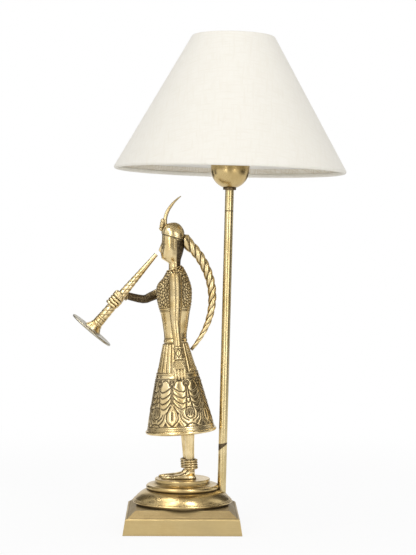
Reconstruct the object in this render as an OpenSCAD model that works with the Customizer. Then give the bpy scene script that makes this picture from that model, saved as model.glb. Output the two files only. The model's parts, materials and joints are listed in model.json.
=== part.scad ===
// Bedside lamp: a trumpeter figure on a round plinth and a square foot, a straight pole behind it,
// a half-round cup with a lampholder, and a cone shade on a wire carrier.
// Millimetres. Origin: centre of the felt's underside. +Z is up and the figure faces -X.

/* [Foot] */
// Side of the square foot at its lower edge
base_w = 127; // [116:1:140]
// Height of the flat top above the metal's lower edge
base_h = 24.8; // [23:0.2:30]
// Height of the leaning walls, up to the bevel
side_h = 17; // [14:0.5:18.5]
// How far each wall leans in over its height
side_taper = 2.5; // [0.5:0.1:4]
// Width of the narrow ledge on top of the walls
ledge_w = 3.2; // [1.5:0.1:4]
// Height that the ledge rises over its width
ledge_h = 1.2; // [0.4:0.1:2]
// How far the bevel runs in
bevel_w = 7.8; // [6:0.2:9]
// Thickness of the foot's casting
base_wall = 2.4; // [2:0.1:3]
// Height of the metal above the table, where the felt stands proud
foot_gap = 0.6; // [0.3:0.1:1]
// Thickness of the felt pad
felt_t = 2.4; // [2:0.1:3]
// Thickness of the bottom plate
plate_t = 1.5; // [1:0.1:2]
// Bore of the cord bush in the rear wall
bush_bore_d = 7.2; // [5:0.1:8]

/* [Plinth] */
// Diameter over the beaded rim
plinth_d = 109.2; // [106:0.2:114]
// Diameter over the half-round ring in the middle
ring_d = 79.9; // [74:0.2:84]
// Diameter of the top step
step_d = 60.5; // [56:0.2:64]
// Height of the rim with its two beads
rim_h = 6; // [5.5:0.1:8]
// Height of the dome between rim and ring
dome_h = 9.9; // [8:0.1:12]
// Thickness of the half-round ring
ring_t = 5.4; // [4:0.1:7]
// Height of the cove over the ring
cove_h = 3.1; // [2:0.1:4]
// Height of the top step
step_h = 3.25; // [2.8:0.05:5]

/* [Pole] */
// Outer diameter of the pole
pole_d = 9.5; // [9:0.1:11]
// Bore of the pole
pole_bore = 7.5; // [7:0.1:8]
// Distance of the pole's axis from the centre of the foot, at the table
pole_x = 42.3; // [41.8:0.1:44]
// Lean of the pole away from the figure, in degrees
pole_lean = 1.1; // [0:0.1:1.5]
// Length of the pole from the table to the seam under its neck
seam_h = 346.2; // [330:1:370]
// Length of the neck tube
neck_h = 23.1; // [18:0.1:30]

/* [Lampholder] */
// Diameter of the half-round cup
cup_d = 42.5; // [42:0.1:45]
// Height of the cup's round part below its widest line
cup_depth = 19.8; // [19:0.1:20.5]
// Height of the straight lip over the round part
cup_lip = 6.2; // [4:0.1:7.5]
// Wall of the spun cup
cup_wall = 1; // [0.8:0.1:1]
// Diameter of the dark collar under the cup
collar_d = 14.3; // [12.5:0.1:18]
// Thickness of the collar
collar_t = 2.7; // [1.5:0.1:4]
// Diameter of the lampholder
holder_d = 38.4; // [37.5:0.1:38.6]
// Length of the lampholder's threaded body
holder_h = 37.8; // [37:0.1:42]

/* [Bulb] */
// Diameter of the bulb's globe
globe_d = 45; // [40:1:48]
// Diameter of the bulb's screw cap
bulb_cap_d = 26.2; // [26:0.1:26.6]
// Length of the bulb's screw cap
bulb_cap_h = 20.4; // [18:0.1:22]

/* [Shade] */
// Diameter over the bottom hem
shade_bottom_d = 254; // [220:1:280]
// Diameter over the top hem
shade_top_d = 92.3; // [86:0.1:110]
// Height of the shade
shade_h = 147.8; // [130:0.2:170]
// How far the shade hangs below the seat of its carrier
shade_drop = 13.6; // [8:0.1:20]
// Diameter of the shade's wire rings
wire_d = 3; // [2.5:0.1:3.4]
// Diameter of the rolled hems
hem_d = 4.4; // [4.2:0.1:6]
// Thickness of the fabric
cloth_t = 0.7; // [0.5:0.05:0.9]
// Thickness of the lining
liner_t = 0.4; // [0.3:0.05:0.5]
// Number of arms in the carrier
arm_count = 3; // [3:1:4]

/* [Figure] */
// Distance of the figure's ankles from the centre of the foot
figure_x = 7.3; // [5:0.1:9]
// Forward lean of the figure, in degrees
figure_lean = 4.1; // [2:0.1:6]
// Height of the skirt's lower edge above the plinth
skirt_lift = 51.4; // [44:0.1:54]
// Diameter over the rolled hem of the skirt
skirt_d = 78; // [72:0.5:80]
// Diameter of the skirt at the waist
waist_d = 27.8; // [26:0.2:30]
// Height of the skirt from its lower edge to the waist
skirt_h = 97.4; // [92:0.2:106]
// Height of the fluted upper part of the skirt
flute_h = 32.3; // [22:0.1:36]
// Number of flutes
flute_count = 20; // [12:1:28]
// Wall of the skirt
skirt_wall = 2; // [1.6:0.1:2.6]
// Height of the belt
belt_h = 5.2; // [3:0.1:8]
// Height of the body from the belt to the neckline
torso_h = 74.9; // [70:0.1:82]
// Width between the flat seats of the two arms
chest_w = 33; // [31:0.2:35]
// Height of head and neck up to the rim of the cap
head_h = 36; // [33:0.5:40]
// Height of the cap
cap_h = 16; // [14:0.5:20]
// Thickness of the braid at its root
braid_d = 11.6; // [10:0.1:13]
// Length of one strand lobe along the braid
braid_pitch = 9.4; // [7:0.1:12]
// Length of the plume
plume_l = 36; // [28:1:44]

/* [Trumpet] */
// Length from the mouthpiece to the face of the bell
trumpet_l = 110.2; // [102:0.2:118]
// Angle between the trumpet and the pole's direction, in degrees
trumpet_angle = 40.1; // [36:0.1:44]
// Diameter of the tube where the bell begins
tube_d = 11.8; // [10.6:0.1:13]
// Diameter of the mouthpiece
mouth_d = 4.3; // [3.6:0.1:5]
// Diameter of the bell
bell_d = 52.8; // [44:0.2:60]
// Distance of the gripping hand from the mouthpiece
grip_at = 68; // [62:0.5:74]

/* [Hidden] */

// Clearances: a sliding fit, a gap between pieces that turn, and the overshoot of a cut
fit = 0.1;
run_gap = 0.3;
cut = 1;
$fn = 64;

// Heights of the foot and plinth
base_top = foot_gap + base_h;
foot_top_r = base_w / 2 - side_taper - ledge_w - bevel_w;
plate_z = felt_t;
post_z = plate_z + plate_t;
post_at = base_w / 2 - 13.5;
screw_d = 3;
bush_z = 10.5;
bush_d = 10.4;
bush_flange_d = 13.6;
dome_z = rim_h + dome_h;
cove_z = dome_z + ring_t;
step_z = cove_z + cove_h;
plinth_h = step_z + step_h;
plinth_top = base_top + plinth_h;
bead_r = 1.35;
plinth_foot_r = plinth_d / 2 - 5.4;
rim_gap = 2;

// Fasteners under the foot's top
washer_t = 1.2;
nut_t = 4;
stud_d = 5;
stud_y = 7.6;
washer_r = 9;
pole_seat_z = foot_gap + side_h - 2;
pole_foot_x = pole_x + pole_seat_z * sin(pole_lean);

// Heights along the pole's own axis
pole_low = pole_seat_z - washer_t - nut_t - 3;
neck_top = seam_h + neck_h;
cup_z = neck_top + collar_t;
cup_mid = cup_z + cup_depth;
cup_rim = cup_mid + cup_lip;
nipple_d = pole_bore - fit;
nipple_bore = 5;
cap_z = cup_z + cup_wall + 3.2;
body_z = cap_z + 18;
flange_z = cup_rim + 2.3;
flange_t = 2.2;
seat_z = flange_z + flange_t + run_gap;
carrier_t = 1.2;
ring_z = seat_z + carrier_t + run_gap;
shade_ring_h = 7;
insert_z = body_z + 0.4;
insert_h = 12.4;
shell_z = insert_z + insert_h;
shell_t = 0.5;
contact_h = 2.4;
tip_z = shell_z + contact_h + run_gap;
tip_h = 1.5;
insulator_h = 2.4;
bulb_cap_z = tip_z + tip_h + insulator_h;
bulb_cap_top = bulb_cap_z + bulb_cap_h;
glass_neck_d = bulb_cap_d - 1.8;
globe_z = bulb_cap_top + sqrt(pow(globe_d / 2, 2) - pow(glass_neck_d / 2, 2)) + 3;
globe_wall = 1;

// The shade in its own profile: hem centres, slope and outward normal
shade_z = seat_z - shade_drop;
hem_r = hem_d / 2;
hem_low = [shade_bottom_d / 2 - hem_r, hem_r];
hem_high = [shade_top_d / 2 - hem_r, shade_h - hem_r];
slope_dir = (hem_high - hem_low) / norm(hem_high - hem_low);
slope_out = [slope_dir.y, -slope_dir.x];
arm_d = 2.8;
arm_bend_r = 35;
arm_round = 6;

// Figure: places in its own upright frame, x forwards is negative
skirt_x = -5.5;
skirt_hem_r = 1.9;
hem_top = skirt_lift + 2 * skirt_hem_r - 0.4;
waist_z = skirt_lift + skirt_h;
flute_z = waist_z - flute_h;
band_h = 4.3;
flute_depth = 0.9;
flute_foot_r = waist_d / 2 + 8.4;
belt_z = waist_z + belt_h;
neck_z = belt_z + torso_h;
neck_x = -2.7;
neck_tilt = 17;
leg_plate_z = skirt_lift + 46.5;
leg_plate_t = 3;
leg_y = stud_y;
ankle_h = 9;
ankle_r = 4.6;
knee_r = 6.7;
ankle_step = 1.6;
knee_step = 3.2;
knee_x = 2;
shoulder_z = neck_z - 8;
hand_gap = 0.6;
braid_end_z = waist_z - 8.5;
braid_end_x = 11.3;
lug_r = 1.7;

// A point of the figure's frame in the lamp's frame
function lean(p) = [figure_x + p.x * cos(figure_lean) - p.z * sin(figure_lean), p.y,
  plinth_top + p.x * sin(figure_lean) + p.z * cos(figure_lean)];

// Neck, head and cap stand upright in the lamp's frame
neck_at = lean([neck_x, 0, neck_z]);
head_back = 12;
neck_back = 1.5;
ear_seat = 11.1;
rim_slope = -0.27;
neck_slope = tan(neck_tilt + figure_lean);

// Trumpet: its axis, and the place of the gripping hand on it
trumpet_dir = [-sin(trumpet_angle), 0, -cos(trumpet_angle)];
mouth_at = neck_at + [-18.5, 0, 17];
bell_z = trumpet_l - 10.2;
mid_tube_d = 9.2;
function trumpet_r(s) = lookup(s, [[0, mouth_d / 2], [50, mid_tube_d / 2], [bell_z, tube_d / 2]]);
grip = mouth_at + trumpet_dir * grip_at;
finger_r = 1.65;
finger_pitch = 3.6;
wrist_y = trumpet_r(grip_at) + 6.4;
wrist_at = grip - trumpet_dir * 9.5 + [0, wrist_y, 0];
wrist_r = 4.2;

// Radius of the skirt's outside at a height of the figure's frame
function skirt_r(z) = z > flute_z
  ? flute_foot_r + (waist_d / 2 - flute_foot_r) * (z - flute_z) / flute_h
  : skirt_d / 2 - 1.7 + (flute_foot_r + 0.6 - skirt_d / 2 + 1.7) * (z - hem_top) / (flute_z - hem_top);

function skirt_in(z) = skirt_r(z) - skirt_wall;

function unit(v) = v / norm(v);
function bell_curve(x, w) = exp(-pow(x / w, 2));

// Catmull-Rom curve through knots of any length, k steps in each span
function curve_at(q, i, t) = let (a = q[max(i - 1, 0)], b = q[i], c = q[i + 1],
  d = q[min(i + 2, len(q) - 1)])
  b + 0.5 * t * ((c - a) + t * ((2 * a - 5 * b + 4 * c - d) + t * (3 * b - a - 3 * c + d)));
function curve(q, k) = concat([for (i = [0:len(q) - 2], s = [0:k - 1]) curve_at(q, i, s / k)],
  [q[len(q) - 1]]);

// Superellipse of n points round a centre, half sizes a and b
function power(v, e) = sign(v) * pow(abs(v), e);
function oval(c, a, b, n, e = 1) = [for (i = [0:n - 1]) let (t = 360 * i / n)
  c + [a * power(cos(t), e), b * power(sin(t), e), 0]];

// Rings square to a path of [x, y, z, radius] knots. ref is a direction that the path never takes,
// and flat stretches a ring along it
function heading(p, i) = unit(p[min(i + 1, len(p) - 1)] - p[max(i - 1, 0)]);
function place(v) = [v.x, v.y, v.z];
function ring_on(c, t, r, n, flat = 1, ref = [0, 1, 0]) = let (u = unit(cross(ref, t)), v = cross(t, u))
  [for (i = [0:n - 1]) c + r * cos(360 * i / n) * u + r * flat * sin(360 * i / n) * v];
function limb_rings(path, n, flat = 1, ref = [0, 1, 0]) = let (p = [for (v = path) place(v)])
  [for (i = [0:len(p) - 1]) ring_on(p[i], heading(p, i), path[i][3], n, flat, ref)];

// A ring moved along a direction onto the plane through a point
function onto(ring, at, normal, along) = [for (p = ring)
  p + along * ((at - p) * normal) / (along * normal)];

// Closed skin over rings of equal length, counter-clockwise about the way they climb
module loft(rings) {
  n = len(rings[0]);
  m = len(rings);
  sides = [for (k = [0:m - 2], i = [0:n - 1]) let (a = k * n + i, b = k * n + (i + 1) % n)
    each [[a, a + n, b], [b, a + n, b + n]]];
  low = [for (i = [1:n - 2]) [0, i, i + 1]];
  high = [for (i = [1:n - 2]) [(m - 1) * n, (m - 1) * n + i + 1, (m - 1) * n + i]];
  polyhedron([for (r = rings) each r], concat(low, sides, high), convexity = 6);
}

module limb(path, n = 16, flat = 1, ref = [0, 1, 0]) loft(limb_rings(path, n, flat, ref));

// Bow of a profile: the part of a circle that stands clear of the chord from p to q, on its left
module bow(p, q, sag) {
  c = norm(q - p);
  r = (c * c / 4 + sag * sag) / (2 * sag);
  n = [p.y - q.y, q.x - p.x] / c;
  intersection() {
    translate((p + q) / 2 + n * (sag - r)) circle(r);
    polygon([p, q, q + n * 2 * sag, p + n * 2 * sag]);
  }
}

// A square solid with mitred corners, whose four sides share one profile
module mitred() {
  intersection() {
    rotate([90, 0, 0]) linear_extrude(2 * base_w, center = true) children();
    rotate([90, 0, 90]) linear_extrude(2 * base_w, center = true) children();
  }
}

module on_pole() translate([pole_x, 0, 0]) rotate([0, pole_lean, 0]) children();

module on_figure() translate([figure_x, 0, plinth_top]) rotate([0, -figure_lean, 0]) children();

// Stands children on p with their z axis towards q
module along(p, q) {
  d = q - p;
  translate(p) rotate([0, acos(d.z / norm(d)), atan2(d.y, d.x)]) children();
}

module tube(d, bore, z0, z1) {
  translate([0, 0, z0]) difference() {
    cylinder(h = z1 - z0, d = d);
    translate([0, 0, -cut]) cylinder(h = z1 - z0 + 2 * cut, d = bore);
  }
}

module hex_nut(across, t, bore) {
  difference() {
    cylinder(h = t, d = across / cos(30), $fn = 6);
    translate([0, 0, -cut]) cylinder(h = t + 2 * cut, d = bore);
  }
}

module right_half() {
  intersection() {
    union() children();
    translate([0, -base_w]) square(2 * base_w);
  }
}

module torus(r, wire_r) rotate_extrude() translate([r, 0]) circle(wire_r, $fn = 24);

module at_posts() {
  for (x = [-post_at, post_at], y = [-post_at, post_at]) translate([x, y, 0]) children();
}

module at_studs() {
  for (s = [-1, 1]) translate([figure_x - s * ankle_step, s * stud_y, 0]) children();
}

// Foot

// Right half of a profile, then its mirror image
function both_sides(p) = concat(p, [for (i = [len(p) - 1:-1:0]) [-p[i].x, p[i].y]]);

module base_profile() {
  w = base_w / 2;
  arris = w - side_taper;
  polygon(both_sides([[w, 0], [arris, side_h - 0.9], [arris - 0.9, side_h],
    [arris - ledge_w, side_h + ledge_h], [foot_top_r, base_h]]));
}

module base_hollow() {
  w = base_w / 2 - base_wall;
  polygon(both_sides([[w, -cut], [w - side_taper, side_h - base_wall / 2],
    [w - side_taper - ledge_w + base_wall / 2, side_h + ledge_h - base_wall],
    [foot_top_r - base_wall / 3, base_h - base_wall]]));
}

module foot_solid() translate([0, 0, foot_gap]) mitred() base_profile();

module bush_place() translate([0, base_w / 2, bush_z]) rotate([90, 0, 0]) children();

module square_base() color("#b99b5f") {
  difference() {
    foot_solid();
    difference() {
      translate([0, 0, foot_gap]) mitred() base_hollow();
      at_posts() translate([0, 0, post_z]) cylinder(h = base_h, r = 5);
      translate([pole_foot_x, 0, pole_seat_z]) cylinder(h = base_h, r = washer_r);
    }
    at_posts() translate([0, 0, -cut]) cylinder(h = post_z + 9, d = screw_d - 0.4, $fn = 24);
    on_pole() cylinder(h = base_top + 9, d = pole_d + 2 * fit);
    at_studs() cylinder(h = base_top + cut, d = stud_d + 2 * fit);
    bush_place() translate([0, 0, -5]) cylinder(h = 12, d = bush_d);
  }
}

module bottom_plate() color("#6f7073") {
  side = base_w - 2 * base_wall - 3;
  difference() {
    translate([-side / 2, -side / 2, plate_z]) cube([side, side, plate_t]);
    at_posts() cylinder(h = post_z + cut, d = screw_d + 2 * fit, $fn = 24);
  }
}

module plate_screws() color("#9a9a9c") {
  at_posts() {
    translate([0, 0, plate_z - 1.4]) cylinder(h = 1.4, d = 5.6, $fn = 24);
    translate([0, 0, plate_z - 0.2]) cylinder(h = plate_t + 8, d = screw_d - 0.5, $fn = 24);
  }
}

module felt_pad() color("#24483a") {
  side = base_w - 2 * base_wall - 4;
  difference() {
    translate([-side / 2, -side / 2, 0]) cube([side, side, felt_t]);
    at_posts() translate([0, 0, -cut]) cylinder(h = felt_t + 2 * cut, d = 7, $fn = 24);
  }
}

module cord_bush() color("#2b2a28") {
  difference() {
    bush_place() {
      translate([0, 0, -2]) cylinder(h = 8, d = bush_d - 2 * fit);
      translate([0, 0, -2]) cylinder(h = 6, d = bush_flange_d);
    }
    difference() {
      foot_solid();
      bush_place() cylinder(h = 12, d = bush_d - 2 * fit);
    }
    bush_place() translate([0, 0, -4]) cylinder(h = 16, d = bush_bore_d);
  }
}

// Plinth

module plinth_profile() {
  dome_low = [plinth_d / 2 - 2.4, rim_h];
  dome_high = [ring_d / 2 - 1.2, dome_z];
  cove_low = [ring_d / 2 - ring_t / 2 - 0.6, cove_z];
  cove_high = [step_d / 2 - 0.6, step_z];
  square([plinth_foot_r, rim_gap + 0.4]);
  polygon([[0, rim_gap], [plinth_d / 2 - 2.7, rim_gap], dome_low, dome_high, [0, dome_z]]);
  bow(dome_high, dome_low, 1.3);
  translate([plinth_d / 2 - bead_r, rim_gap + bead_r]) circle(bead_r);
  translate([plinth_d / 2 - bead_r - 0.9, rim_h - bead_r + 0.4]) circle(bead_r - 0.4);
  translate([0, dome_z]) square([ring_d / 2 - ring_t / 2, ring_t]);
  translate([ring_d / 2 - ring_t / 2, dome_z + ring_t / 2]) circle(ring_t / 2);
  difference() {
    polygon([[0, cove_z], cove_low, cove_high, [0, step_z]]);
    bow(cove_low, cove_high, 0.9);
  }
  translate([0, step_z]) {
    square([step_d / 2 - 1, step_h]);
    square([step_d / 2, step_h - 1]);
    translate([step_d / 2 - 1, step_h - 1]) circle(1);
  }
}

module plinth_hollow() {
  polygon([[0, -cut], [plinth_foot_r - 3.5, -cut], [plinth_foot_r - 3.5, rim_h - 2.5],
    [ring_d / 2 - 4, dome_z - 2], [ring_d / 2 - 5.5, cove_z - 1.5], [step_d / 2 - 3, step_z - 1],
    [step_d / 2 - 3, plinth_h - 2.6], [0, plinth_h - 2.6]]);
}

module round_plinth() color("#c0a05a") {
  difference() {
    translate([0, 0, base_top]) difference() {
      rotate_extrude($fn = 128) plinth_profile();
      difference() {
        rotate_extrude($fn = 128) plinth_hollow();
        translate([pole_x, 0, -cut]) cylinder(h = plinth_h, r = 8.5);
        at_studs() translate([0, 0, -cut]) cylinder(h = plinth_h + cut, r = 4.6);
      }
    }
    on_pole() cylinder(h = plinth_top + 9, d = pole_d + 2 * fit);
    at_studs() cylinder(h = plinth_top + cut, d = stud_d + 2 * fit);
  }
}

module figure_studs() color("#8f9092") {
  low = base_top - base_wall - washer_t - nut_t - 2;
  at_studs() translate([0, 0, low]) cylinder(h = plinth_top + 5 - low, d = stud_d);
}

module figure_washers() color("#9a9a9c") {
  at_studs() tube(11, stud_d + 2 * fit, base_top - base_wall - washer_t, base_top - base_wall);
}

module figure_nuts() color("#9a9a9c") {
  at_studs() translate([0, 0, base_top - base_wall - washer_t - nut_t])
    hex_nut(8, nut_t, stud_d + 2 * fit);
}

// Pole

module pole_tube() color("#b08d4c") on_pole() tube(pole_d, pole_bore, pole_low, seam_h);

module pole_washer() color("#9a9a9c") {
  translate([pole_foot_x, 0, pole_seat_z - washer_t])
    tube(2 * washer_r, pole_d + 4 * fit, 0, washer_t);
}

module pole_nut() color("#9a9a9c") {
  translate([pole_foot_x, 0, pole_seat_z - washer_t - nut_t]) hex_nut(14, nut_t, pole_d + 4 * fit);
}

module pole_sleeve() color("#a58a55") {
  on_pole() tube(pole_bore - fit, nipple_bore, seam_h - 14, seam_h + neck_h - 13);
}

module neck_tube() color("#b08d4c") on_pole() tube(pole_d, pole_bore, seam_h, neck_top);

module neck_collar() color("#4b3a22") on_pole() tube(collar_d, pole_bore, neck_top, cup_z);

module holder_nipple() color("#a58a55") {
  on_pole() tube(nipple_d, nipple_bore, neck_top - 12, cap_z + 9.5);
}

// Lampholder

// Half section of the cup's outside or inside, above its flat floor
module cup_profile(r, floor, top) {
  intersection() {
    union() {
      circle(r);
      square([r, top]);
    }
    translate([0, floor]) square([r, top - floor]);
  }
}

module holder_cup() color("#c0a05a") on_pole() translate([0, 0, cup_mid]) {
  difference() {
    rotate_extrude($fn = 96) difference() {
      cup_profile(cup_d / 2, -cup_depth, cup_lip);
      cup_profile(cup_d / 2 - cup_wall, cup_wall - cup_depth, cup_lip + cut);
    }
    translate([0, 0, -cup_depth - cut]) cylinder(h = 4, d = pole_bore);
  }
}

module cup_nut() color("#9a9a9c") {
  on_pole() translate([0, 0, cup_z + cup_wall]) hex_nut(12, 3, pole_bore);
}

module holder_cap() color("#1f1e1d") on_pole() translate([0, 0, cap_z]) {
  r = holder_d / 2;
  difference() {
    rotate_extrude() difference() {
      polygon([[pole_bore / 2, 0], [9, 0], [r - 2.2, 8], [r, 14], [r, 18], [pole_bore / 2, 18]]);
      polygon([[6.5, 3], [8.5, 3], [r - 4.6, 9], [r - 2, 14.5], [r - 2, 18 + cut],
        [pole_bore / 2 - cut, 18 + cut], [pole_bore / 2 - cut, 9], [6.5, 9]]);
    }
  }
}

module holder_body() color("#1f1e1d") on_pole() {
  r = holder_d / 2;
  top = body_z + holder_h;
  rotate_extrude() polygon([[r - 2, body_z], [r, body_z], [r, flange_z], [r + 3.8, flange_z],
    [r + 3.8, flange_z + flange_t], [r, flange_z + flange_t], [r, top], [r - 3.8, top],
    [r - 3.8, top - 2], [r - 2, top - 2]]);
}

module holder_insert() color("#e8e4da") on_pole() translate([0, 0, insert_z]) {
  difference() {
    cylinder(h = insert_h, d = holder_d - 4 - 2 * fit);
    for (x = [-11, 11]) translate([x, 0, -cut]) cylinder(h = 6 + cut, d = 4.5, $fn = 24);
    translate([0, 0, -cut]) cylinder(h = 7 + cut, d = 10, $fn = 32);
  }
}

module screw_shell() color("#c9a85c") on_pole() translate([0, 0, shell_z]) {
  r = bulb_cap_d / 2 + run_gap;
  rotate_extrude() difference() {
    translate([6, 0]) square([r + shell_t - 6, bulb_cap_h + 2]);
    translate([6 - cut, shell_t]) square([r - 6 + cut, bulb_cap_h + 2]);
  }
}

module centre_contact() color("#c9a85c") on_pole() translate([0, 0, shell_z]) {
  cylinder(h = 0.8, r = 4, $fn = 32);
  translate([0, 0, 0.6]) cylinder(h = contact_h - 0.6, r1 = 3, r2 = 1.6, $fn = 32);
}

module shade_ring() color("#1f1e1d") on_pole() translate([0, 0, ring_z]) {
  r = holder_d / 2 + run_gap;
  difference() {
    cylinder(h = shade_ring_h, r = r + 3.6);
    translate([0, 0, -cut]) cylinder(h = shade_ring_h + 2 * cut, r = r);
    for (i = [0:11]) rotate(30 * i) translate([r + 4.4, 0, 2]) cylinder(h = 9, r = 1.5, $fn = 24);
  }
}

// Bulb

module bulb_glass_profile(r, neck_r) {
  translate([0, globe_z]) circle(r);
  translate([0, bulb_cap_top - 9]) square([neck_r, globe_z - bulb_cap_top]);
  polygon([[0, bulb_cap_top], [neck_r, bulb_cap_top], [r * 0.8, globe_z - r * 0.6], [0, globe_z]]);
}

module bulb_glass() color("#f4f1e6") on_pole() rotate_extrude($fn = 96) {
  difference() {
    intersection() {
      bulb_glass_profile(globe_d / 2, glass_neck_d / 2);
      translate([0, shell_z]) square([globe_d, 2 * globe_d]);
    }
    bulb_glass_profile(globe_d / 2 - globe_wall, glass_neck_d / 2 - globe_wall);
  }
}

module bulb_cap() color("#c8c8c4") {
  on_pole() tube(bulb_cap_d, glass_neck_d + 2 * fit, bulb_cap_z, bulb_cap_top);
}

module bulb_insulator() color("#26262a") on_pole() translate([0, 0, tip_z + tip_h]) {
  cylinder(h = insulator_h, r1 = 5, r2 = bulb_cap_d / 2 - 1, $fn = 48);
}

module bulb_contact() color("#b9b6ac") {
  on_pole() translate([0, 0, tip_z]) cylinder(h = tip_h, r1 = 3.2, r2 = 5, $fn = 48);
}

// Shade

// A strip of the shade's slope: from and to along it, near and far off the line of hem centres
module slope_strip(from, to, near, far) {
  a = hem_low + slope_dir * from;
  b = hem_low + slope_dir * to;
  polygon([a + slope_out * near, a + slope_out * far, b + slope_out * far, b + slope_out * near]);
}

slope_l = norm(hem_high - hem_low);
liner_far = hem_r - cloth_t - 0.05;
strip_far = liner_far - liner_t - 0.05;

module hem_roll(at) {
  difference() {
    translate(at) circle(hem_r, $fn = 32);
    translate(at) circle(wire_d / 2 + fit / 2, $fn = 32);
  }
}

module shade_cover() color("#f3eee0") {
  on_pole() translate([0, 0, shade_z]) rotate_extrude($fn = 128) {
    difference() {
      slope_strip(0, slope_l, hem_r - cloth_t, hem_r);
      translate(hem_low) circle(wire_d / 2 + fit / 2, $fn = 32);
      translate(hem_high) circle(wire_d / 2 + fit / 2, $fn = 32);
    }
    hem_roll(hem_low);
    hem_roll(hem_high);
  }
}

module shade_liner() color("#eceae3") {
  on_pole() translate([0, 0, shade_z]) rotate_extrude($fn = 128)
    slope_strip(hem_r, slope_l - hem_r, liner_far - liner_t, liner_far);
}

module hem_strips() color("#b39c72") {
  on_pole() translate([0, 0, shade_z]) rotate_extrude($fn = 128) {
    slope_strip(hem_r + 0.1, hem_r + 6, strip_far - 0.5, strip_far);
    slope_strip(slope_l - hem_r - 6, slope_l - hem_r - 0.1, strip_far - 0.5, strip_far);
  }
}

module top_wire() color("#d9d7d0") {
  on_pole() translate([0, 0, shade_z + hem_high.y]) torus(hem_high.x, wire_d / 2);
}

module bottom_wire() color("#d9d7d0") {
  on_pole() translate([0, 0, shade_z + hem_low.y]) torus(hem_low.x, wire_d / 2);
}

carrier_path = let (z = seat_z + arm_d / 2, high = [hem_high.x, shade_z + hem_high.y],
  rise = atan2(high.y - z, high.x - arm_bend_r), ease = arm_round * tan(rise / 2),
  stop = high - (hem_r + fit) * [cos(rise), sin(rise)])
  [[holder_d / 2 + 4.4, 0, z, arm_d / 2], each [for (i = [0:4]) let (t = rise * i / 4)
    [arm_bend_r - ease + arm_round * sin(t), 0, z + arm_round * (1 - cos(t)), arm_d / 2]],
  [stop.x, 0, stop.y, arm_d / 2]];

module shade_carrier() color("#d9d7d0") on_pole() {
  tube(holder_d + 12, holder_d + 2 * run_gap + 1, seat_z, seat_z + carrier_t);
  for (i = [0:arm_count - 1]) rotate(90 + 360 * i / arm_count) limb(carrier_path, 12);
}

// Legs and feet

module foot(s) {
  a = [figure_x - s * ankle_step, s * leg_y, plinth_top];
  rings = [[-13, 18.9, 4.7, 0], [-13, 19.3, 5, 1], [-12.8, 18.7, 4.8, 2.3], [-10.5, 15.6, 4.3, 3.3],
    [-4.6, 9.6, 4.2, 4.6], [-1.2, 5.8, 4.5, 6.2], [0, ankle_r, ankle_r, ankle_h]];
  difference() {
    loft([for (r = rings) oval(a + [r[0], 0, r[3]], r[1], r[2], 20)]);
    translate(a - [0, 0, cut]) cylinder(h = 5 + 2 * cut, d = stud_d + 2 * fit, $fn = 24);
  }
}

module left_foot() color("#b8964f") foot(-1);

module right_foot() color("#b8964f") foot(1);

function leg_path(s) = let (top = leg_plate_z) [
  each [[figure_x - s * ankle_step, s * leg_y, plinth_top + ankle_h, ankle_r]],
  for (k = [[0.25, 0.1], [0.55, 0.55], [1, 1]])
    let (p = lean([1 + k[1] * (knee_x - 1) - s * (ankle_step + k[1] * (knee_step - ankle_step)), s * leg_y,
      ankle_h + k[0] * (top - ankle_h)]))
    [p.x, p.y, p.z, ankle_r + k[1] * (knee_r - ankle_r)]];

module leg(s) {
  path = curve(leg_path(s), 3);
  rings = limb_rings(path, 16);
  last = len(rings) - 1;
  up = unit(lean([0, 0, 1]) - lean([0, 0, 0]));
  loft([for (i = [0:last]) i == 0 ? onto(rings[0], place(path[0]), [0, 0, 1], [0, 0, 1])
    : i == last ? onto(rings[last], place(path[last]), up, up) : rings[i]]);
}

module leg_screw_place(s) {
  on_figure() translate([knee_x - s * knee_step, s * leg_y, leg_plate_z]) children();
}

module left_leg() color("#b8964f") leg_drilled(-1);

module right_leg() color("#b8964f") leg_drilled(1);

module leg_drilled(s) {
  difference() {
    leg(s);
    leg_screw_place(s) translate([0, 0, -9]) cylinder(h = 9 + cut, d = 3, $fn = 24);
  }
}

module anklets() color("#a88645") {
  for (s = [-1, 1], i = [0:3]) {
    p = lean([1 - s * (ankle_step + 0.1 * (knee_step - ankle_step)), s * leg_y, ankle_h + 3 + 2.7 * i]);
    translate(p) rotate([0, -figure_lean, 0]) torus(ankle_r + 1.8, 1.15);
  }
}

module leg_plate() color("#a58a55") on_figure() {
  difference() {
    translate([skirt_x, 0, leg_plate_z]) cylinder(h = leg_plate_t,
      r1 = skirt_in(leg_plate_z) - fit, r2 = skirt_in(leg_plate_z + leg_plate_t) - fit);
    for (s = [-1, 1]) translate([knee_x - s * knee_step, s * leg_y, leg_plate_z - cut])
      cylinder(h = leg_plate_t + 2 * cut, d = 3.4, $fn = 24);
  }
}

module leg_screws() color("#9a9a9c") for (s = [-1, 1]) leg_screw_place(s) {
  translate([0, 0, leg_plate_t]) cylinder(h = 2.2, d = 6.4, $fn = 24);
  translate([0, 0, -8]) cylinder(h = leg_plate_t + 8.2, d = 2.9, $fn = 24);
}

// Skirt and body

module flutes(r0, r1, h, depth) {
  steps = 6;
  n = steps * flute_count;
  linear_extrude(h, scale = r1 / r0) polygon([for (i = [0:n - 1]) let (t = 360 * i / n)
    (r0 - depth * (1 - abs(sin(180 * i / steps)))) * [cos(t), sin(t)]]);
}

module skirt_profile() {
  edge = skirt_lift + skirt_hem_r;
  polygon([[0, edge], [skirt_d / 2 - skirt_hem_r, edge], [skirt_r(hem_top), hem_top],
    [skirt_r(flute_z - 0.01), flute_z], [0, flute_z]]);
  translate([skirt_d / 2 - skirt_hem_r, edge]) circle(skirt_hem_r);
  for (z = [hem_top + 1.6, hem_top + 3.6]) translate([skirt_r(z) - 0.4, z]) circle(0.75, $fn = 24);
  for (z = [flute_z - band_h, flute_z]) translate([skirt_r(z) - 0.5, z]) circle(0.9, $fn = 24);
}

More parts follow.
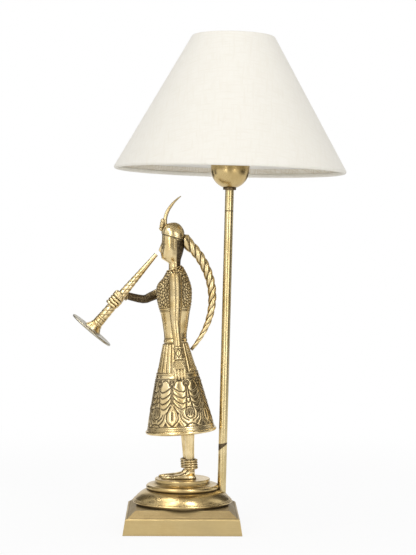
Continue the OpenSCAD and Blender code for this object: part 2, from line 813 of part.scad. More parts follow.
module skirt_hollow() {
  z = waist_z - 3;
  polygon([[0, skirt_lift - cut], [skirt_d / 2 - 2 * skirt_hem_r, skirt_lift - cut],
    [skirt_d / 2 - 2 * skirt_hem_r, skirt_lift + skirt_hem_r],
    [skirt_in(hem_top), hem_top], [skirt_in(flute_z - band_h), flute_z - band_h],
    [flute_foot_r - flute_depth - skirt_wall, flute_z], [skirt_r(z) - flute_depth - skirt_wall, z], [0, z]]);
}

module skirt() color("#bb9a54") on_figure() {
  translate([skirt_x, 0, 0]) difference() {
    union() {
      rotate_extrude($fn = 96) skirt_profile();
      translate([0, 0, flute_z]) flutes(flute_foot_r, waist_d / 2, flute_h, flute_depth);
      translate([8, 0, braid_end_z]) rotate([0, 90, 0])
        cylinder(h = braid_end_x - skirt_x - 8 - braid_end_r, r = lug_r, $fn = 24);
    }
    rotate_extrude($fn = 96) skirt_hollow();
  }
}

module belt() color("#b8964f") on_figure() {
  translate([-5.2, 0, waist_z]) {
    linear_extrude(belt_h) polygon([for (p = oval([0, 0, 0], 12.6, 12.3, 48)) [p.x, p.y]]);
    translate([0, 0, belt_h * 0.3]) linear_extrude(belt_h * 0.4)
      polygon([for (p = oval([0, 0, 0], 13.1, 12.8, 48)) [p.x, p.y]]);
  }
}

// Body: share of the height, front, back, half width, slope of the ring
torso_rows = [[0, -17.5, 7.5, 12, 0], [0.07, -17.5, 7.9, 11.8, 0], [0.16, -17.9, 9.4, 12.4, 0],
  [0.28, -18.6, 11.2, 13.4, 0], [0.375, -19.5, 12.7, 14.6, 0], [0.4, -20.3, 13.3, 15.3, 0],
  [0.425, -20.6, 13.7, 15.5, 0], [0.5, -21.8, 14.9, 16.6, 0], [0.6, -22.8, 15.9, 17.6, 0],
  [0.7, -23, 16.4, 18.2, 0], [0.79, -21.5, 15.3, 18.4, 0.02], [0.87, -18.3, 13.1, 17.6, 0.13],
  [0.94, -14.3, 10.2, 14, 0.3], [1, -11, 8.2, 9.9, tan(neck_tilt)]];

function torso_ring(row, n) = let (mid = (row[1] + row[2]) / 2)
  [for (p = oval([mid, 0, belt_z + torso_h * row[0]], (row[2] - row[1]) / 2, row[3], n, 0.92))
    lean([p.x, max(-chest_w / 2, min(chest_w / 2, p.y)), p.z + row[4] * (p.x - neck_x)])];

module torso() color("#b8964f") {
  loft([for (row = curve(torso_rows, 2)) torso_ring(row, 28)]);
}

module neck_ring() color("#cbb070") {
  translate(neck_at) rotate([0, -figure_lean - neck_tilt, 0])
    translate([neck_back, 0, 0.95]) torus(8.4, 0.95);
}

// Head

// Head: share of the height, front, back, half width, slope of the ring
head_rows = [[0, neck_back - 6.4, neck_back + 6.4, 6.6, neck_slope], [0.1, -4.9, 8, 6.3, 0.1],
  [0.2, -5.1, 8.1, 6.3, 0], [0.27, -8.5, 8.2, 6.8, 0], [0.35, -12, 8.8, 8.2, 0],
  [0.47, -13.1, 10.2, 9.8, 0], [0.63, -13.1, 11.6, 11.2, 0], [0.8, -12.6, 12.2, 11.7, -0.1],
  [1, -12.5, 12.4, 11.8, rim_slope]];

// How far a plain, evenly proportioned face stands out at a height share v and a width y
function face(v, y) = 3 * bell_curve(y, 1.5 + 0.5 * bell_curve(v - 0.6, 0.04)) * nose(v)
  + 0.8 * bell_curve(y, 3) * (bell_curve(v - 0.5, 0.02) + bell_curve(v - 0.445, 0.024))
  + 0.9 * bell_curve(y, 3.4) * bell_curve(v - 0.34, 0.05)
  - 0.9 * bell_curve(abs(y) - 4.2, 2.2) * bell_curve(v - 0.72, 0.05)
  + 0.5 * bell_curve(abs(y) - 3.6, 3) * bell_curve(v - 0.81, 0.03);
function nose(v) = v > 0.57 ? max(0, 1 - pow(abs(v - 0.595) / 0.21, 1.2)) : bell_curve(v - 0.57, 0.025);

function head_ring(row, n) = let (mid = (row[1] + row[2]) / 2, a = (row[2] - row[1]) / 2)
  [for (i = [0:n - 1]) let (t = 2 * i / n - 1, w = 180 + 180 * power(t, 1.5),
    y = row[3] * sin(w), bump = cos(w) < 0 ? face(row[0], y) * pow(-cos(w), 0.5) : 0,
    x = min(head_back, mid + a * cos(w) - bump))
    neck_at + [x, max(-ear_seat, min(ear_seat, y)), head_h * row[0] + row[4] * x]];

module head() color("#bfa05e") {
  loft([for (row = curve(head_rows, 4)) head_ring(row, 36)]);
}

module cap() color("#b08d4c") {
  loft([for (k = [0:9]) let (e = 10 * k, c = k == 9 ? 0.08 : pow(cos(e), 0.85),
    ring = oval([0.1 + 0.8 * sin(e), 0, 0], 13.4 * c, 12.4 * c, 32))
    [for (i = [0:31]) let (p = ring[(i + 16) % 32], x = min(head_back, p.x))
      neck_at + [x, p.y, head_h + cap_h * sin(e) + rim_slope * x * cos(e)]]]);
}

module ears() color("#b08d4c") {
  for (s = [-1, 1]) {
    rings = [for (k = [[0, 1], [0.9, 1.05], [1.7, 0.8], [2.1, 0.3]])
      [for (i = [0:15]) let (t = 360 * i / 16) neck_at
        + [1.8 + 1.9 * k[1] * cos(t), -s * (ear_seat + k[0]), 28 + 6.6 * k[1] * s * sin(t)]]];
    loft(rings);
  }
}

module beaded_knob() {
  translate(neck_at + [-12.9, 0, head_h + 8.6]) rotate([0, 8, 0]) rotate_extrude($fn = 48) right_half() {
    for (i = [0:3]) translate([0, 3.2 * i]) circle(2.9 - 0.35 * abs(i - 1.4), $fn = 32);
    translate([0, -2]) square([1.4, 12]);
  }
}

module head_ornament() color("#cbb070") {
  difference() {
    beaded_knob();
    cap();
  }
}

plume_at = neck_at + [-8.4, 0, head_h + 10];

function plume_path() = curve([for (k = [[0, 0, 1.9], [-0.02, 0.26, 2.1], [0.04, 0.48, 2],
  [0.14, 0.65, 1.7], [0.26, 0.8, 1.3], [0.38, 0.91, 0.9], [0.46, 0.97, 0.45]])
  [plume_at.x + plume_l * k[0], 0, plume_at.z + plume_l * k[1], k[2]]], 2);

module plume() color("#cbb070") {
  difference() {
    limb(plume_path(), 12, 0.75);
    cap();
    beaded_knob();
  }
}

// Braid

braid_root = neck_at + [head_back, 0, head_h - 4.8];
braid_end = lean([braid_end_x, 0, braid_end_z]);
braid_bend_a = braid_root + [22, 0, -12.5];
braid_bend_b = braid_end + [44.5, 0, 51.5];
braid_steps = 90;
braid_end_r = 1.75;
braid_root_r = 3.3;
braid_lobes = 3;

function braid_point(t) = pow(1 - t, 3) * braid_root + 3 * pow(1 - t, 2) * t * braid_bend_a
  + 3 * (1 - t) * t * t * braid_bend_b + t * t * t * braid_end;
braid_line = [for (i = [0:braid_steps]) braid_point(i / braid_steps)];
function run_up(p, i, s = 0) = i == 0 ? s : run_up(p, i - 1, s + norm(p[i] - p[i - 1]));
function braid_r(t) = braid_d / 2 * (1 - 0.1 * t - 0.6 * t * t * t) + braid_root_r * exp(-t / 0.07);

function braid_ring(i, n) = let (t = i / braid_steps, go = heading(braid_line, i),
  u = unit(cross([0, 1, 0], go)), v = cross(go, u),
  turn = 360 / braid_lobes * run_up(braid_line, i) / braid_pitch, deep = t > 0.93 ? 0.03 : 0.13)
  [for (j = [0:n - 1]) let (a = 360 * j / n,
    r = braid_r(t) * (1 - deep + deep * cos(braid_lobes * a - braid_lobes * turn)))
    braid_line[i] + r * cos(a) * u + r * sin(a) * v];

module braid() color("#b8964f") {
  rings = [for (i = [0:braid_steps]) braid_ring(i, 15)];
  go = heading(braid_line, 0);
  loft([for (i = [0:braid_steps]) i == 0 ? onto(rings[0], braid_root, [1, 0, 0], go)
    : [for (p = rings[i]) [max(p.x, braid_root.x + 0.05 * i), p.y, p.z]]]);
}

// Near arm, hanging beside the skirt

function hand_y(z, half) = -(skirt_r(z) + hand_gap + half);
cuff_top = lean([-2.9, hand_y(waist_z - 10, 7.4), waist_z - 3]);
cuff_low = lean([-2.5, hand_y(waist_z - 16.5, 6.9), waist_z - 16.5]);

arm_path = [
  for (k = [[-1.4, -20.4, -0.5, 5.6], [-1.2, -20.8, 5, 7.2], [-1.5, -21, 18, 7.5], [-2.5, -21.4, 34, 7],
    [-3.4, -21.8, 46, 6.2], [-3.7, -22.2, 55, 5.3]])
    let (p = lean([k[0], k[1], shoulder_z + 4 - k[2]])) [p.x, p.y, p.z, k[3]],
  [cuff_top.x, cuff_top.y, cuff_top.z, 4.6]];

module left_arm() color("#b08d4c") {
  path = curve(arm_path, 3);
  rings = limb_rings(path, 18);
  last = len(rings) - 1;
  go = unit(cuff_low - cuff_top);
  loft([for (i = [0:last])
    [for (p = i == last ? ring_on(cuff_top, go, 4.6, 18) : rings[i]) [p.x, min(p.y, -chest_w / 2), p.z]]]);
}

module left_cuff() color("#cbb070") along(cuff_top, cuff_low) {
  l = norm(cuff_low - cuff_top);
  cylinder(h = l, r1 = 5, r2 = 5.9);
  for (k = [[0.9, 5], [l - 0.9, 5.7]]) translate([0, 0, k[0]]) torus(k[1], 0.9);
}

module finger(p, q, r) limb([for (k = [[0, 1], [0.5, 1.02], [0.85, 0.95], [1, 0.5]])
  let (c = p + (q - p) * k[0]) [c.x, c.y, c.z, r * k[1]]], 10);

module left_hand() color("#b08d4c") {
  z = waist_z - 16.5;
  knuckle = waist_z - 26;
  low = lean([-2.3, hand_y(knuckle, 2.8), knuckle]);
  go = unit(cuff_low - cuff_top);
  path = [concat(cuff_low, [4.6]), concat((cuff_low + low) / 2, [6]), concat(low, [6.7])];
  rings = limb_rings(curve(path, 2), 16, 0.52);
  loft([for (i = [0:len(rings) - 1]) i == 0 ? onto(rings[0], cuff_low, go, go) : rings[i]]);
  for (i = [0:3]) finger(lean([-7.3 + 3.35 * i, hand_y(knuckle, 2.4), knuckle + 1.5]),
    lean([-7.1 + 3.25 * i, hand_y(knuckle - 12.5, 1.9), knuckle - 12.5 + 0.6 * abs(i - 1.5)]), 1.65);
  finger(lean([-7.6, hand_y(z - 2, 4), z - 2]), lean([-9.2, hand_y(knuckle - 3, 2.6), knuckle - 3]), 1.5);
}

// Far arm, reaching forward to the trumpet

function far_arm_path() = [
  for (k = [[-1.6, 20.4, 0, 5.2], [-2, 20.8, 6, 6.6], [-6, 21.4, 14, 6.4], [-17, 21.4, 19.5, 5.9],
    [-29, 19, 24, 5.2], [-38, 16.4, 26.3, 4.7]])
    let (p = lean([k[0], k[1], shoulder_z + 4 - k[2]])) [p.x, p.y, p.z, k[3]],
  concat(wrist_at - wrist_go * 6.4, [wrist_r])];
elbow_at = lean([-38, 16.4, shoulder_z - 22.3]);
wrist_go = unit(wrist_at - elbow_at);

module right_arm() color("#a07c42") {
  path = curve(far_arm_path(), 3);
  rings = limb_rings(path, 16);
  limit = figure_x - shoulder_z * sin(figure_lean) - 19;
  loft([for (i = [0:len(rings) - 1])
    [for (p = i == len(rings) - 1 ? ring_on(place(path[i]), wrist_go, wrist_r, 16) : rings[i])
      [p.x, p.x > limit ? max(p.y, chest_w / 2) : p.y, p.z]]]);
}

module right_bracelet() color("#cbb070") {
  along(wrist_at - wrist_go * 6.4, wrist_at) {
    cylinder(h = 4.4, r = 4.9);
    for (z = [1, 3.4]) translate([0, 0, z]) torus(4.7, 0.95);
  }
}

// The trumpet's own frame: z along its axis, y as the lamp's, x to its upper side
module on_trumpet() translate(mouth_at) rotate([0, 180 + trumpet_angle, 0]) children();

// A finger bent round the trumpet: distance from the mouthpiece, first and last angle, thickness
// off the trumpet, and width along it as a multiple of that
module wrap(at, from, to, r, wide = 1) {
  reach = trumpet_r(at) + r + fit;
  steps = 8;
  limb([for (i = [0:steps]) let (t = from + (to - from) * i / steps)
    [reach * cos(t), reach * sin(t), at, i == steps ? r * 0.55 : r * (1.05 - 0.02 * i)]],
    10, wide, [0, 0, 1]);
}

module right_hand() color("#b08d4c") {
  start = wrist_at - wrist_go * 2;
  palm = grip + [0, trumpet_r(grip_at) + 3.4, 0] - trumpet_dir * 2;
  on_trumpet() {
    for (i = [0:3]) wrap(grip_at + finger_pitch * (i - 1.5), 60, -145 + 8 * abs(i - 1), finger_r);
    wrap(grip_at - 8, 60, -110, 1.6, 1.9);
    wrap(grip_at - 0.5, 130, 50, 2.3, 3.1);
  }
  go = unit(palm - start);
  loft([ring_on(start, wrist_go, 4.3, 12),
    ring_on(start + wrist_go * 2.6, unit(2 * wrist_go + go), 4.4, 12), ring_on(palm, go, 3.6, 12)]);
}

// Trumpet

module trumpet_tube() color("#cbb070") on_trumpet() {
  rotate_extrude() {
    polygon([[0, 0.6], [trumpet_r(0), 0.6], [trumpet_r(50), 50], [trumpet_r(bell_z), bell_z], [0, bell_z]]);
    translate([0, 0]) square([mouth_d / 2 - 0.5, 1]);
    translate([mouth_d / 2 - 0.6, 0.8]) circle(0.8, $fn = 24);
  }
}

module trumpet_bell() color("#bdb08a") on_trumpet() translate([0, 0, bell_z]) {
  face_z = trumpet_l - bell_z;
  rotate_extrude($fn = 96) difference() {
    union() {
      polygon([[0, 0], [tube_d / 2 + 0.2, 0], [tube_d / 2 + 0.4, 1.4], [tube_d / 2 + 4, face_z - 3.4],
        [tube_d / 2 + 4.6, face_z - 2], [0, face_z - 1]]);
      translate([tube_d / 2 + 0.1, 0.8]) circle(0.8, $fn = 24);
      translate([0, face_z - 2.4]) square([bell_d / 2 - 1.2, 2.4]);
      translate([bell_d / 2 - 1.2, face_z - 1.2]) circle(1.2, $fn = 24);
    }
    polygon([[0, face_z - 6], [2.6, face_z - 6], [tube_d / 2 + 1.6, face_z + 0.1], [0, face_z + 0.1]]);
  }
}

square_base();
bottom_plate();
plate_screws();
felt_pad();
cord_bush();
round_plinth();
figure_studs();
figure_washers();
figure_nuts();
pole_tube();
pole_washer();
pole_nut();
pole_sleeve();
neck_tube();
neck_collar();
holder_nipple();
holder_cup();
cup_nut();
holder_cap();
holder_body();
holder_insert();
screw_shell();
centre_contact();
shade_ring();
shade_carrier();
top_wire();
bottom_wire();
shade_cover();
shade_liner();
hem_strips();
bulb_glass();
bulb_cap();
bulb_insulator();
bulb_contact();
left_foot();
right_foot();
left_leg();
right_leg();
anklets();
leg_plate();
leg_screws();
skirt();
belt();
torso();
neck_ring();
head();
cap();
ears();
head_ornament();
plume();
braid();
left_arm();
left_cuff();
left_hand();
right_arm();
right_bracelet();
right_hand();
trumpet_tube();
trumpet_bell();
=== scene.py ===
# Bedside lamp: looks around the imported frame. Sizes in the dictionaries are millimetres, degrees and counts,
# unless a comment beside them says otherwise.
import json
import math

import bmesh
import bpy
import numpy as np
from mathutils import Matrix, Vector
from mathutils.kdtree import KDTree


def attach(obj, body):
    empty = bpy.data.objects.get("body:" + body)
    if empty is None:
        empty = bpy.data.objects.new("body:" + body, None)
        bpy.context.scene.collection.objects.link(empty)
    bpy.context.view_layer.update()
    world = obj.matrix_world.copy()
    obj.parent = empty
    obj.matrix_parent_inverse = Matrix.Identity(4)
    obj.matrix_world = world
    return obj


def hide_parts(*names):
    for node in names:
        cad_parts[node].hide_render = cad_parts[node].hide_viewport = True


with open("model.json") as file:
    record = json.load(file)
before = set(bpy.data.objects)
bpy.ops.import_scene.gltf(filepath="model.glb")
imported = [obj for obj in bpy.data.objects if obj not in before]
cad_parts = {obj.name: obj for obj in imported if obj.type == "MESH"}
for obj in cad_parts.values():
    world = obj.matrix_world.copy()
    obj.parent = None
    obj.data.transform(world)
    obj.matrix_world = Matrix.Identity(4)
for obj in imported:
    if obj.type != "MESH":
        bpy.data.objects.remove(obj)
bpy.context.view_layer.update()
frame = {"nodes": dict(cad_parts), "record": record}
print("frame loaded:", len(frame["nodes"]), "nodes")

mm = 0.001


def link(obj):
    bpy.context.scene.collection.objects.link(obj)
    return obj


# Points are in millimetres until they go into a mesh
def meshObject(name, points, faces):
    mesh = bpy.data.meshes.new(name)
    mesh.from_pydata((np.asarray(points, float) * mm).tolist(), [], faces)
    mesh.update()
    return link(bpy.data.objects.new(name, mesh))


# nodes: a value is a number, a tuple or the socket that feeds it

def feed(tree, value, socket):
    if isinstance(value, bpy.types.NodeSocket):
        tree.links.new(value, socket)
    else:
        socket.default_value = value


def node(tree, kind, inputs=(), **settings):
    made = tree.nodes.new(kind)
    for key, value in settings.items():
        setattr(made, key, value)
    for key, value in dict(inputs).items():
        feed(tree, value, made.inputs[key])
    return made


def mathNode(tree, operation, a, b=0.0, clamp=False):
    return node(tree, "ShaderNodeMath", {0: a, 1: b}, operation=operation, use_clamp=clamp).outputs[0]


def times(tree, a, b, clamp=False):
    return mathNode(tree, "MULTIPLY", a, b, clamp)


def larger(tree, a, b, clamp=False):
    return mathNode(tree, "MAXIMUM", a, b, clamp)


def apart(tree, a, b):
    return mathNode(tree, "ABSOLUTE", mathNode(tree, "SUBTRACT", a, b))


def ramp(tree, value, low, high, toLow=0.0, toHigh=1.0, kind="LINEAR"):
    return node(tree, "ShaderNodeMapRange", {"Value": value, "From Min": low, "From Max": high, "To Min": toLow,
                                             "To Max": toHigh}, interpolation_type=kind).outputs["Result"]


def noise(tree, vector, scale, detail, rough=0.5):
    return node(tree, "ShaderNodeTexNoise", {"Vector": vector, "Scale": scale, "Detail": detail,
                                             "Roughness": rough}).outputs["Fac"]


def mixColour(tree, factor, a, b):
    return node(tree, "ShaderNodeMix", {0: factor, 6: (*a, 1) if isinstance(a, tuple) else a, 7: (*b, 1)},
                data_type="RGBA").outputs[2]


def objectCoords(tree):
    return node(tree, "ShaderNodeTexCoord").outputs["Object"]


def newMaterial(name, **values):
    material = bpy.data.materials.new(name)
    material.use_nodes = True
    shader = material.node_tree.nodes["Principled BSDF"]
    for key, value in values.items():
        shader.inputs[key.replace("_", " ")].default_value = value
    return material, material.node_tree, shader


# camera, floor and light

# pitch, yaw and roll are radians
cameraPlace = {"at": (-11.28, -1677.4, 302.88), "pitch": 0.0177, "yaw": 0.0225, "roll": 0.0072, "lens": 99.35,
               "sensor": 36}


def makeCamera(place):
    camera = link(bpy.data.objects.new("camera", bpy.data.cameras.new("camera")))
    camera.data.lens, camera.data.sensor_width = place["lens"], place["sensor"]
    camera.data.clip_start, camera.data.clip_end = 0.05, 50
    pitch, yaw, roll = place["pitch"], place["yaw"], place["roll"]
    forward = Vector((math.sin(yaw) * math.cos(pitch), math.cos(yaw) * math.cos(pitch), -math.sin(pitch)))
    right = forward.cross(Vector((0, 0, 1))).normalized()
    up = right.cross(forward)
    c, s = math.cos(roll), math.sin(roll)
    axes = Matrix((right * c + up * s, up * c - right * s, -forward)).transposed()
    camera.matrix_world = Matrix.Translation(Vector(place["at"]) * mm) @ axes.to_4x4()
    bpy.context.scene.camera = camera


makeCamera(cameraPlace)
bpy.context.scene.view_settings.view_transform = "Standard"

# lamps: place, width, height, watts. cards: azimuth, distance, width, lower edge
studio = {"floorSize": 12000, "floorColour": (0.93, 0.93, 0.92), "fadeFrom": 380, "fadeTo": 950, "glowNear": 0.9,
          "fill": 0.66, "aim": (0, 0, 250),
          "lamps": {"leftStrip": ((-740, -1480, 620), 260, 1300, 5.0),
                    "rightStrip": ((760, -1440, 560), 230, 1300, 4.6),
                    "top": ((-150, -300, 1700), 900, 900, 3.2),
                    "glossLeft": ((-600, -600, 1450), 240, 1100, 9.0),
                    "glossBack": ((-480, 150, 1500), 260, 620, 4.5),
                    "glossRight": ((430, -600, 1450), 220, 1100, 9.0)},
          "cards": [(0, 1250, 250, 0), (-103, 1000, 330, 20), (80, 1000, 820, 20), (-138, 1150, 620, 20),
                    (140, 1150, 620, 20)], "cardTall": 1300, "cardColour": (0.07, 0.06, 0.05),
          "ceiling": (2600, 2600, 1900), "ceilingColour": (0.4, 0.38, 0.35)}


# 1 for rays from the camera, off gloss and through glass, where the background is white
def whiteRays(tree):
    path = node(tree, "ShaderNodeLightPath").outputs
    return larger(tree, larger(tree, path["Is Camera Ray"], path["Is Glossy Ray"]), path["Is Transmission Ray"])


# A card that only gloss shows
def glossCard(name, corners, look):
    card = meshObject(name, corners, [(0, 1, 2, 3)])
    card.data.materials.append(look)
    card.visible_camera = card.visible_diffuse = card.visible_shadow = card.visible_transmission = False


def makeFloor(values):
    half = values["floorSize"] / 2
    floor = meshObject("floor", [(-half, -half, 0), (half, -half, 0), (half, half, 0), (-half, half, 0)],
                       [(0, 1, 2, 3)])
    paper, tree, shader = newMaterial("floor_paper", Base_Color=(*values["floorColour"], 1), Roughness=0.9,
                                      Specular_IOR_Level=0.1)
    away = node(tree, "ShaderNodeVectorMath", {0: objectCoords(tree)}, operation="LENGTH").outputs["Value"]
    fade = ramp(tree, away, values["fadeFrom"] * mm, values["fadeTo"] * mm, values["glowNear"], kind="SMOOTHSTEP")
    glow = node(tree, "ShaderNodeEmission", {"Strength": 1.0})
    blend = node(tree, "ShaderNodeMixShader", {0: times(tree, fade, whiteRays(tree)), 1: shader.outputs[0],
                                               2: glow.outputs[0]})
    tree.links.new(blend.outputs[0], tree.nodes["Material Output"].inputs["Surface"])
    floor.data.materials.append(paper)


def makeCards(values):
    cardLook, ceilingLook = (newMaterial(key, Base_Color=(*values[key], 1), Roughness=1)[0]
                             for key in ("cardColour", "ceilingColour"))
    for i, (azimuth, far, wide, low) in enumerate(values["cards"]):
        turn = math.radians(azimuth)
        centre = Vector((math.sin(turn), -math.cos(turn), 0)) * far
        side = Vector((math.cos(turn), math.sin(turn), 0)) * wide / 2
        foot, head = Vector((0, 0, low)), Vector((0, 0, values["cardTall"]))
        glossCard(f"card{i}", [centre - side + foot, centre + side + foot, centre + side + head,
                               centre - side + head], cardLook)
    wide, deep, high = values["ceiling"]
    x, y = wide / 2, deep / 2
    glossCard("ceiling", [(-x, y, high), (x, y, high), (x, -y, high), (-x, -y, high)], ceilingLook)


def makeLights(values):
    for name, (at, wide, tall, power) in values["lamps"].items():
        lamp = bpy.data.lights.new(name, "AREA")
        lamp.shape, lamp.energy, lamp.size, lamp.size_y = "RECTANGLE", power, wide * mm, tall * mm
        obj = link(bpy.data.objects.new(name, lamp))
        obj.location = Vector(at) * mm
        obj.rotation_euler = (Vector(values["aim"]) * mm - obj.location).to_track_quat("-Z", "Y").to_euler()
        obj.visible_diffuse = not name.startswith("gloss")
        obj.visible_glossy = name != "top"
    world = bpy.context.scene.world = bpy.data.worlds.new("studio")
    world.use_nodes = True
    tree = world.node_tree
    back = tree.nodes["Background"].inputs
    back["Color"].default_value = (1, 1, 1, 1)
    tree.links.new(ramp(tree, whiteRays(tree), 0.0, 1.0, values["fill"]), back["Strength"])


makeFloor(studio)
makeCards(studio)
makeLights(studio)
print("camera, floor and light made")


# shader node groups that more than one material uses: a vector and numbers in, numbers out

def newGroup(name, inputs, outputs):
    tree = bpy.data.node_groups.new(name, "ShaderNodeTree")
    tree.interface.new_socket(name="Vector", in_out="INPUT", socket_type="NodeSocketVector")
    for label, value in inputs.items():
        tree.interface.new_socket(name=label, in_out="INPUT", socket_type="NodeSocketFloat").default_value = value
    for label in outputs:
        tree.interface.new_socket(name=label, in_out="OUTPUT", socket_type="NodeSocketFloat")
    return tree, tree.nodes.new("NodeGroupInput").outputs, tree.nodes.new("NodeGroupOutput").inputs


def makeAgeingAndPaintedShade():
    tree, entry, leave = newGroup("ageing", {"Blotch Size": 30.0, "Speck Size": 400.0, "Hollow Reach": 0.004},
                                  ("Blotches", "Specks", "Hollows"))
    blotch = noise(tree, entry["Vector"], entry["Blotch Size"], 5.0, 0.6)
    speck = noise(tree, entry["Vector"], entry["Speck Size"], 3.0)
    # Ambient occlusion: patina in hollows, and painted shade where parts lie close together
    shade = node(tree, "ShaderNodeAmbientOcclusion", {"Distance": entry["Hollow Reach"]}, samples=6, only_local=False)
    tree.links.new(ramp(tree, blotch, 0.35, 0.68), leave["Blotches"])
    tree.links.new(ramp(tree, speck, 0.4, 0.7), leave["Specks"])
    tree.links.new(ramp(tree, shade.outputs["AO"], 0.95, 0.35), leave["Hollows"])
    return tree


def makeStreaks():
    tree, entry, leave = newGroup("streaks", {"Across": 900.0, "Along": 8.0}, ("Streaks",))
    parts = node(tree, "ShaderNodeSeparateXYZ", {0: entry["Vector"]}).outputs
    stretched = node(tree, "ShaderNodeCombineXYZ", {
        i: times(tree, parts[i], entry[label]) for i, label in enumerate(("Across", "Across", "Along"))})
    tree.links.new(ramp(tree, noise(tree, stretched.outputs[0], 1.0, 4.0), 0.3, 0.7), leave["Streaks"])
    return tree


def makeWeave():
    tree, entry, leave = newGroup("weave", {"Threads": 1400.0, "Slubs": 60.0}, ("Height", "Slub Mask"))
    parts = node(tree, "ShaderNodeSeparateXYZ", {0: entry["Vector"]}).outputs
    waves, slubs = [], []
    for axis, (x, y) in enumerate(((0.12, 1.0), (1.0, 0.12))):
        waves.append(mathNode(tree, "SINE", times(tree, times(tree, parts[axis], entry["Threads"]), math.tau)))
        scaled = node(tree, "ShaderNodeCombineXYZ", {0: times(tree, parts[0], x), 1: times(tree, parts[1], y),
                                                     2: 0.37 * axis})
        slubs.append(ramp(tree, noise(tree, scaled.outputs[0], times(tree, entry["Slubs"], 8.0), 2.0), 0.45, 0.75))
    slub = larger(tree, *slubs)
    tree.links.new(mathNode(tree, "ADD", times(tree, times(tree, *waves), 0.35), slub), leave["Height"])
    tree.links.new(slub, leave["Slub Mask"])
    return tree


ageing, streaks, weave = makeAgeingAndPaintedShade(), makeStreaks(), makeWeave()


def useGroup(tree, group, **inputs):
    return node(tree, "ShaderNodeGroup", {key.replace("_", " "): value for key, value in inputs.items()},
                node_tree=group).outputs


def useAgeingAndPaintedShade(tree, blotch, speck, reach):
    return useGroup(tree, ageing, Vector=objectCoords(tree), Blotch_Size=blotch, Speck_Size=speck,
                    Hollow_Reach=reach)


def bump(tree, shader, height, strength, distance):
    made = node(tree, "ShaderNodeBump", {"Height": height, "Strength": strength, "Distance": distance})
    tree.links.new(made.outputs["Normal"], shader.inputs["Normal"])


# Roughness runs from smooth to rough, reach is how far hollows darken in metres, as patina and painted shade, along
# and across are streaks a metre
brassColumns = ("light", "deep", "dark", "smooth", "rough", "blotch", "reach", "along", "across", "streak", "hollows")
brassRows = {
    "antiqueBrass": ((0.7, 0.54, 0.27), (0.5, 0.36, 0.15), (0.07, 0.045, 0.02), 0.2, 0.34, 22.0, 0.007, 14.0, 500.0,
                     0.2, 0.85),
    "poleBrass": ((0.78, 0.64, 0.36), (0.52, 0.4, 0.18), (0.06, 0.04, 0.02), 0.2, 0.3, 30.0, 0.003, 3.0, 420.0,
                  0.35, 0.5),
    "footBrass": ((0.56, 0.43, 0.21), (0.47, 0.35, 0.16), (0.08, 0.05, 0.025), 0.36, 0.5, 40.0, 0.004, 900.0, 60.0,
                  0.35, 0.7),
    "castBrass": ((0.96, 0.79, 0.47), (0.63, 0.46, 0.2), (0.04, 0.024, 0.01), 0.16, 0.3, 60.0, 0.005, 300.0, 300.0,
                  0.1, 1.0),
    "greyBrass": ((0.5, 0.47, 0.38), (0.36, 0.32, 0.24), (0.08, 0.07, 0.05), 0.3, 0.48, 50.0, 0.004, 200.0, 200.0,
                  0.2, 0.8),
    "darkBrass": ((0.2, 0.14, 0.07), (0.1, 0.065, 0.03), (0.02, 0.014, 0.01), 0.3, 0.46, 60.0, 0.003, 300.0, 300.0,
                  0.2, 0.8),
    "plainBrass": ((0.7, 0.55, 0.28), (0.6, 0.45, 0.2), (0.12, 0.08, 0.04), 0.22, 0.34, 40.0, 0.003, 900.0, 80.0,
                   0.3, 0.4),
    "steel": ((0.62, 0.62, 0.63), (0.5, 0.5, 0.52), (0.14, 0.14, 0.14), 0.3, 0.42, 60.0, 0.003, 200.0, 200.0,
              0.2, 0.5),
    "nickel": ((0.76, 0.75, 0.72), (0.66, 0.65, 0.62), (0.2, 0.2, 0.2), 0.16, 0.26, 60.0, 0.003, 900.0, 60.0,
               0.2, 0.4)}
# Painted shade on the foot's groove and bevel, and a dark patch and seam line on the pole
footShadeAndPoleMarks = {"lineHalf": 60.2, "lineFrom": 17.9, "lineTo": 19.9, "bevelDark": 0.45,
          "patchX": 44.0, "patchZ": 89.4, "patchHalf": 3.6, "seamZ": 346.2}


# Painted shade: a dark line along the square foot where its bevel leaves the ledge, and the bevel painted darker with
# what lies above it
def footGrooveShade(tree, x, y, z):
    low, high, half = (footShadeAndPoleMarks[key] * mm for key in ("lineFrom", "lineTo", "lineHalf"))
    inside = ramp(tree, mathNode(tree, "ABSOLUTE", y), half, half - 1.2 * mm)
    line = times(tree, times(tree, ramp(tree, z, low, low + 0.4 * mm), ramp(tree, z, high, high - 1.1 * mm)),
                 times(tree, inside, 0.6))
    return larger(tree, line, ramp(tree, z, high - 1 * mm, high, 0.0, footShadeAndPoleMarks["bevelDark"]))


# A dark patch painted low on the pole's front, and a dark line at the seam of its neck
def polePatch(tree, x, y, z):
    middle, high, half, seamZ = (footShadeAndPoleMarks[key] * mm for key in ("patchX", "patchZ", "patchHalf", "seamZ"))
    slant = times(tree, mathNode(tree, "SUBTRACT", x, middle), 0.5)
    away = apart(tree, mathNode(tree, "SUBTRACT", z, slant), high)
    narrow = ramp(tree, x, middle - 4 * mm, middle + 7 * mm, half, 0.0)
    patch = ramp(tree, mathNode(tree, "SUBTRACT", away, narrow), 0.5 * mm, -0.6 * mm)
    darkBand = ramp(tree, apart(tree, z, seamZ), 0.8 * mm, 0.3 * mm)
    return larger(tree, times(tree, patch, ramp(tree, y, 1 * mm, -1 * mm)), darkBand)


extraDark = {"footBrass": footGrooveShade, "poleBrass": polePatch}


